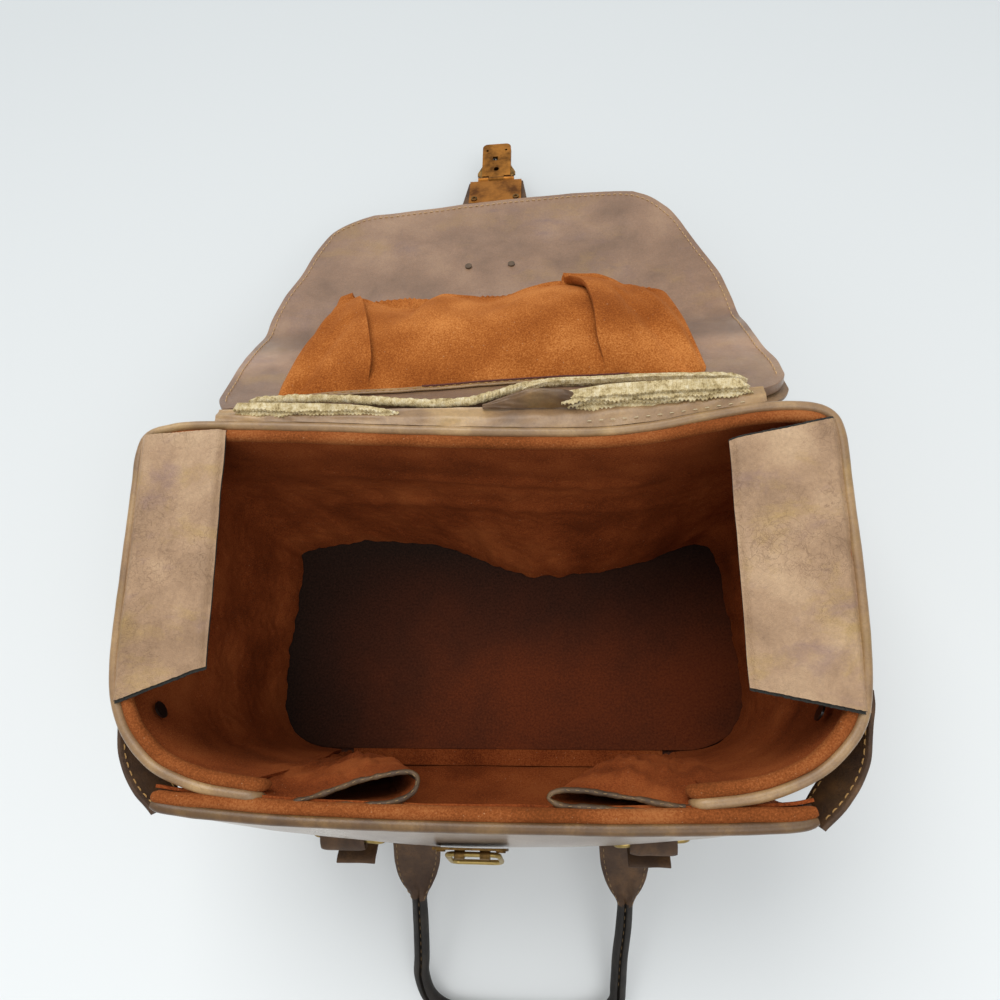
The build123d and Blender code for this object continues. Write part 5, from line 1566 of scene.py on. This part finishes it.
# chapes: a strip of leather rolled round the ring's bar, its tail tucked under and turned up at the end
chapes = {
    "left": {
        "x": (-95.2, -70.6),
        "tail": (-88.6, -66.4),
        "out": 14.6,
        "pivot": (-119.84, 91.93),
        "node": "ring_chape_left",
    },
    "right": {
        "x": (76.2, 100.8),
        "tail": (75.0, 98.2),
        "out": 14.2,
        "pivot": (-119.21, 91.94),
        "node": "ring_chape_right",
    },
}
for side, spec in chapes.items():
    y0, z0 = spec["pivot"]
    rows = []
    for i in range(27):
        x = mix(spec["x"][0], spec["x"][1], i / 26)
        swell = 1 + 0.04 * wave(x / 1000, 0, 0, 0.006, 4) - 0.10 * (abs(i / 13 - 1) ** 8)
        row = []
        for k in range(29):
            # starts flat on the panel above the bar and comes round it to the panel again
            a = math.radians(mix(80, -118, k / 28))
            row.append(mm(x, y0 - (4.7 + 2.2 * math.cos(a) ** 2) * swell * math.cos(a) + 0.9,
                          z0 + 4.9 * swell * math.sin(a)))
        row.insert(0, mm(x, y0 + 4.6, z0 + 7.5))
        row.append(mm(x, y0 + 4.2, z0 - 8.6))
        rows.append(row)
    roll = gridPiece(f"chapeRoll_{side}", rows)
    thicken(roll, mm(2.0), offset=0.0)
    outward(roll)
    rounded(roll, mm(0.5), segments=2, angle=60)
    smooth(roll, 45)
    dress(roll, strapHide)
    settle(roll, "front_panel", "dark_leather", spec["node"])
    rows = []
    for i in range(21):
        x = mix(spec["tail"][0], spec["tail"][1], i / 20)
        row = []
        for k in range(13):
            t = k / 12
            # passes under the ring's swing and turns up beyond it
            row.append(mm(x, y0 + mix(4.0, -spec["out"], t) + 0.4 * wave(x / 1000, t, 0, 0.012, 3),
                          z0 - 13.0 + 7.0 * smoothstep(0.35, 1.0, t)))
        rows.append(row)
    tail = gridPiece(f"chapeTail_{side}", rows)
    thicken(tail, mm(2.0), offset=0.0)
    outward(tail)
    rounded(tail, mm(0.5), segments=2, angle=60)
    smooth(tail, 45)
    dress(tail, strapHide)
    settle(tail, "front_panel", "dark_leather")
for name in ("ring_left", "ring_right", "wire_loop"):
    dress(nodes[name], wireBrass)
print("stage: handle made")

# The hard pieces that are carried over from the solids
finishes = {
    "base_cover": brownHide,
    "base_board": plainFinish("fibreBoard", "#552b16", 0.9, scale=600.0),
    "floor_panel": floorBoard,
    "front_hem": shadedNap,
    "loop_plate": darkBrass,
    "front_rivets": darkBrass,
    "latch_tab": strapHide,
    "latch_plate": brass,
    "latch_cover": brass,
    "latch_rivets": darkBrass,
    "hasp_pin": steel,
    "hasp_plate": haspBrass,
    "hasp_back": haspBrass,
    "catch_spring": steel,
    "catch_left": darkBrass,
    "catch_right": darkBrass,
}
for name, material in finishes.items():
    dress(nodes[name], material)
for name in ("latch_plate", "latch_cover", "hasp_plate", "hasp_back", "wire_loop", "ring_left",
             "ring_right", "latch_rivets", "lid_rivets", "loop_plate"):
    smooth(nodes[name], 35)

# Floor, light and camera
bpy.ops.object.select_all(action="DESELECT")
ground = newPiece("groundStage", [(-6, -6, 0), (6, -6, 0), (6, 6, 0), (-6, 6, 0)], [(0, 1, 2, 3)])
ground.location.z = 0
paper, tree, place, shader = startMaterial("paperWhite")
# pale paper with painted shade that makes it a little greyer towards the back
sweep = addNode(tree, "ShaderNodeSeparateXYZ", {"Vector": place})
share = addNode(tree, "ShaderNodeMapRange", {"Value": sweep.outputs["Y"]},
                **{"From Min": -0.3, "From Max": 0.6})
tone = addNode(tree, "ShaderNodeValToRGB", {"Fac": share.outputs["Result"]},
               ramp=[(0.0, "#e6eaeb"), (0.35, "#dbdfe0"), (1.0, "#c2c7c9")])
tree.links.new(tone.outputs["Color"], shader.inputs["Base Color"])
shader.inputs["Roughness"].default_value = 0.75
dress(ground, paper)


def lamp(name, kind, energy, place, aim, size, color):
    data = bpy.data.lights.new(name, kind)
    data.energy = energy
    data.color = color
    if kind == "AREA":
        data.size = size
    item = bpy.data.objects.new(name, data)
    item.location = place
    item.rotation_euler = (Vector(aim) - Vector(place)).to_track_quat("-Z", "Y").to_euler()
    bpy.context.scene.collection.objects.link(item)


lamp("windowSoft", "AREA", 78, (-0.7, 2.1, 2.9), (0, 0.05, 0.1), 2.6, (1.0, 0.99, 0.97))
lamp("ceilingSoft", "AREA", 34, (1.0, -1.1, 3.1), (0, 0.1, 0.1), 2.4, (1.0, 1.0, 1.0))
world = bpy.data.worlds.new("room")
bpy.context.scene.world = world
world.use_nodes = True
world.node_tree.nodes["Background"].inputs[0].default_value = (0.97, 0.985, 1.0, 1)
world.node_tree.nodes["Background"].inputs[1].default_value = 0.62

cameraSettings = {
    "place": (49.53, -43.654, 538.337),
    "pitch": 15.797,
    "turn": 20.729,
    "roll": -21.376,
    "lens": 27.0,
}
pitch, turn, roll = (math.radians(cameraSettings[key]) for key in ("pitch", "turn", "roll"))
spin = Matrix.Rotation(turn, 3, "Z")
forward = spin @ Vector((0, math.sin(pitch), -math.cos(pitch)))
upward = spin @ Vector((0, math.cos(pitch), math.sin(pitch)))
sideways = spin @ Vector((1, 0, 0))
right = sideways * math.cos(roll) + upward * math.sin(roll)
above = -sideways * math.sin(roll) + upward * math.cos(roll)
cameraData = bpy.data.cameras.new("photoCamera")
cameraData.lens = cameraSettings["lens"]
cameraData.sensor_width = 36
camera = bpy.data.objects.new("photoCamera", cameraData)
basis = Matrix((right, above, -forward)).transposed()
camera.matrix_world = Matrix.Translation(mm(*cameraSettings["place"])) @ basis.to_4x4()
bpy.context.scene.collection.objects.link(camera)
bpy.context.scene.camera = camera
bpy.context.scene.view_settings.view_transform = "Standard"
print("stage: camera made")
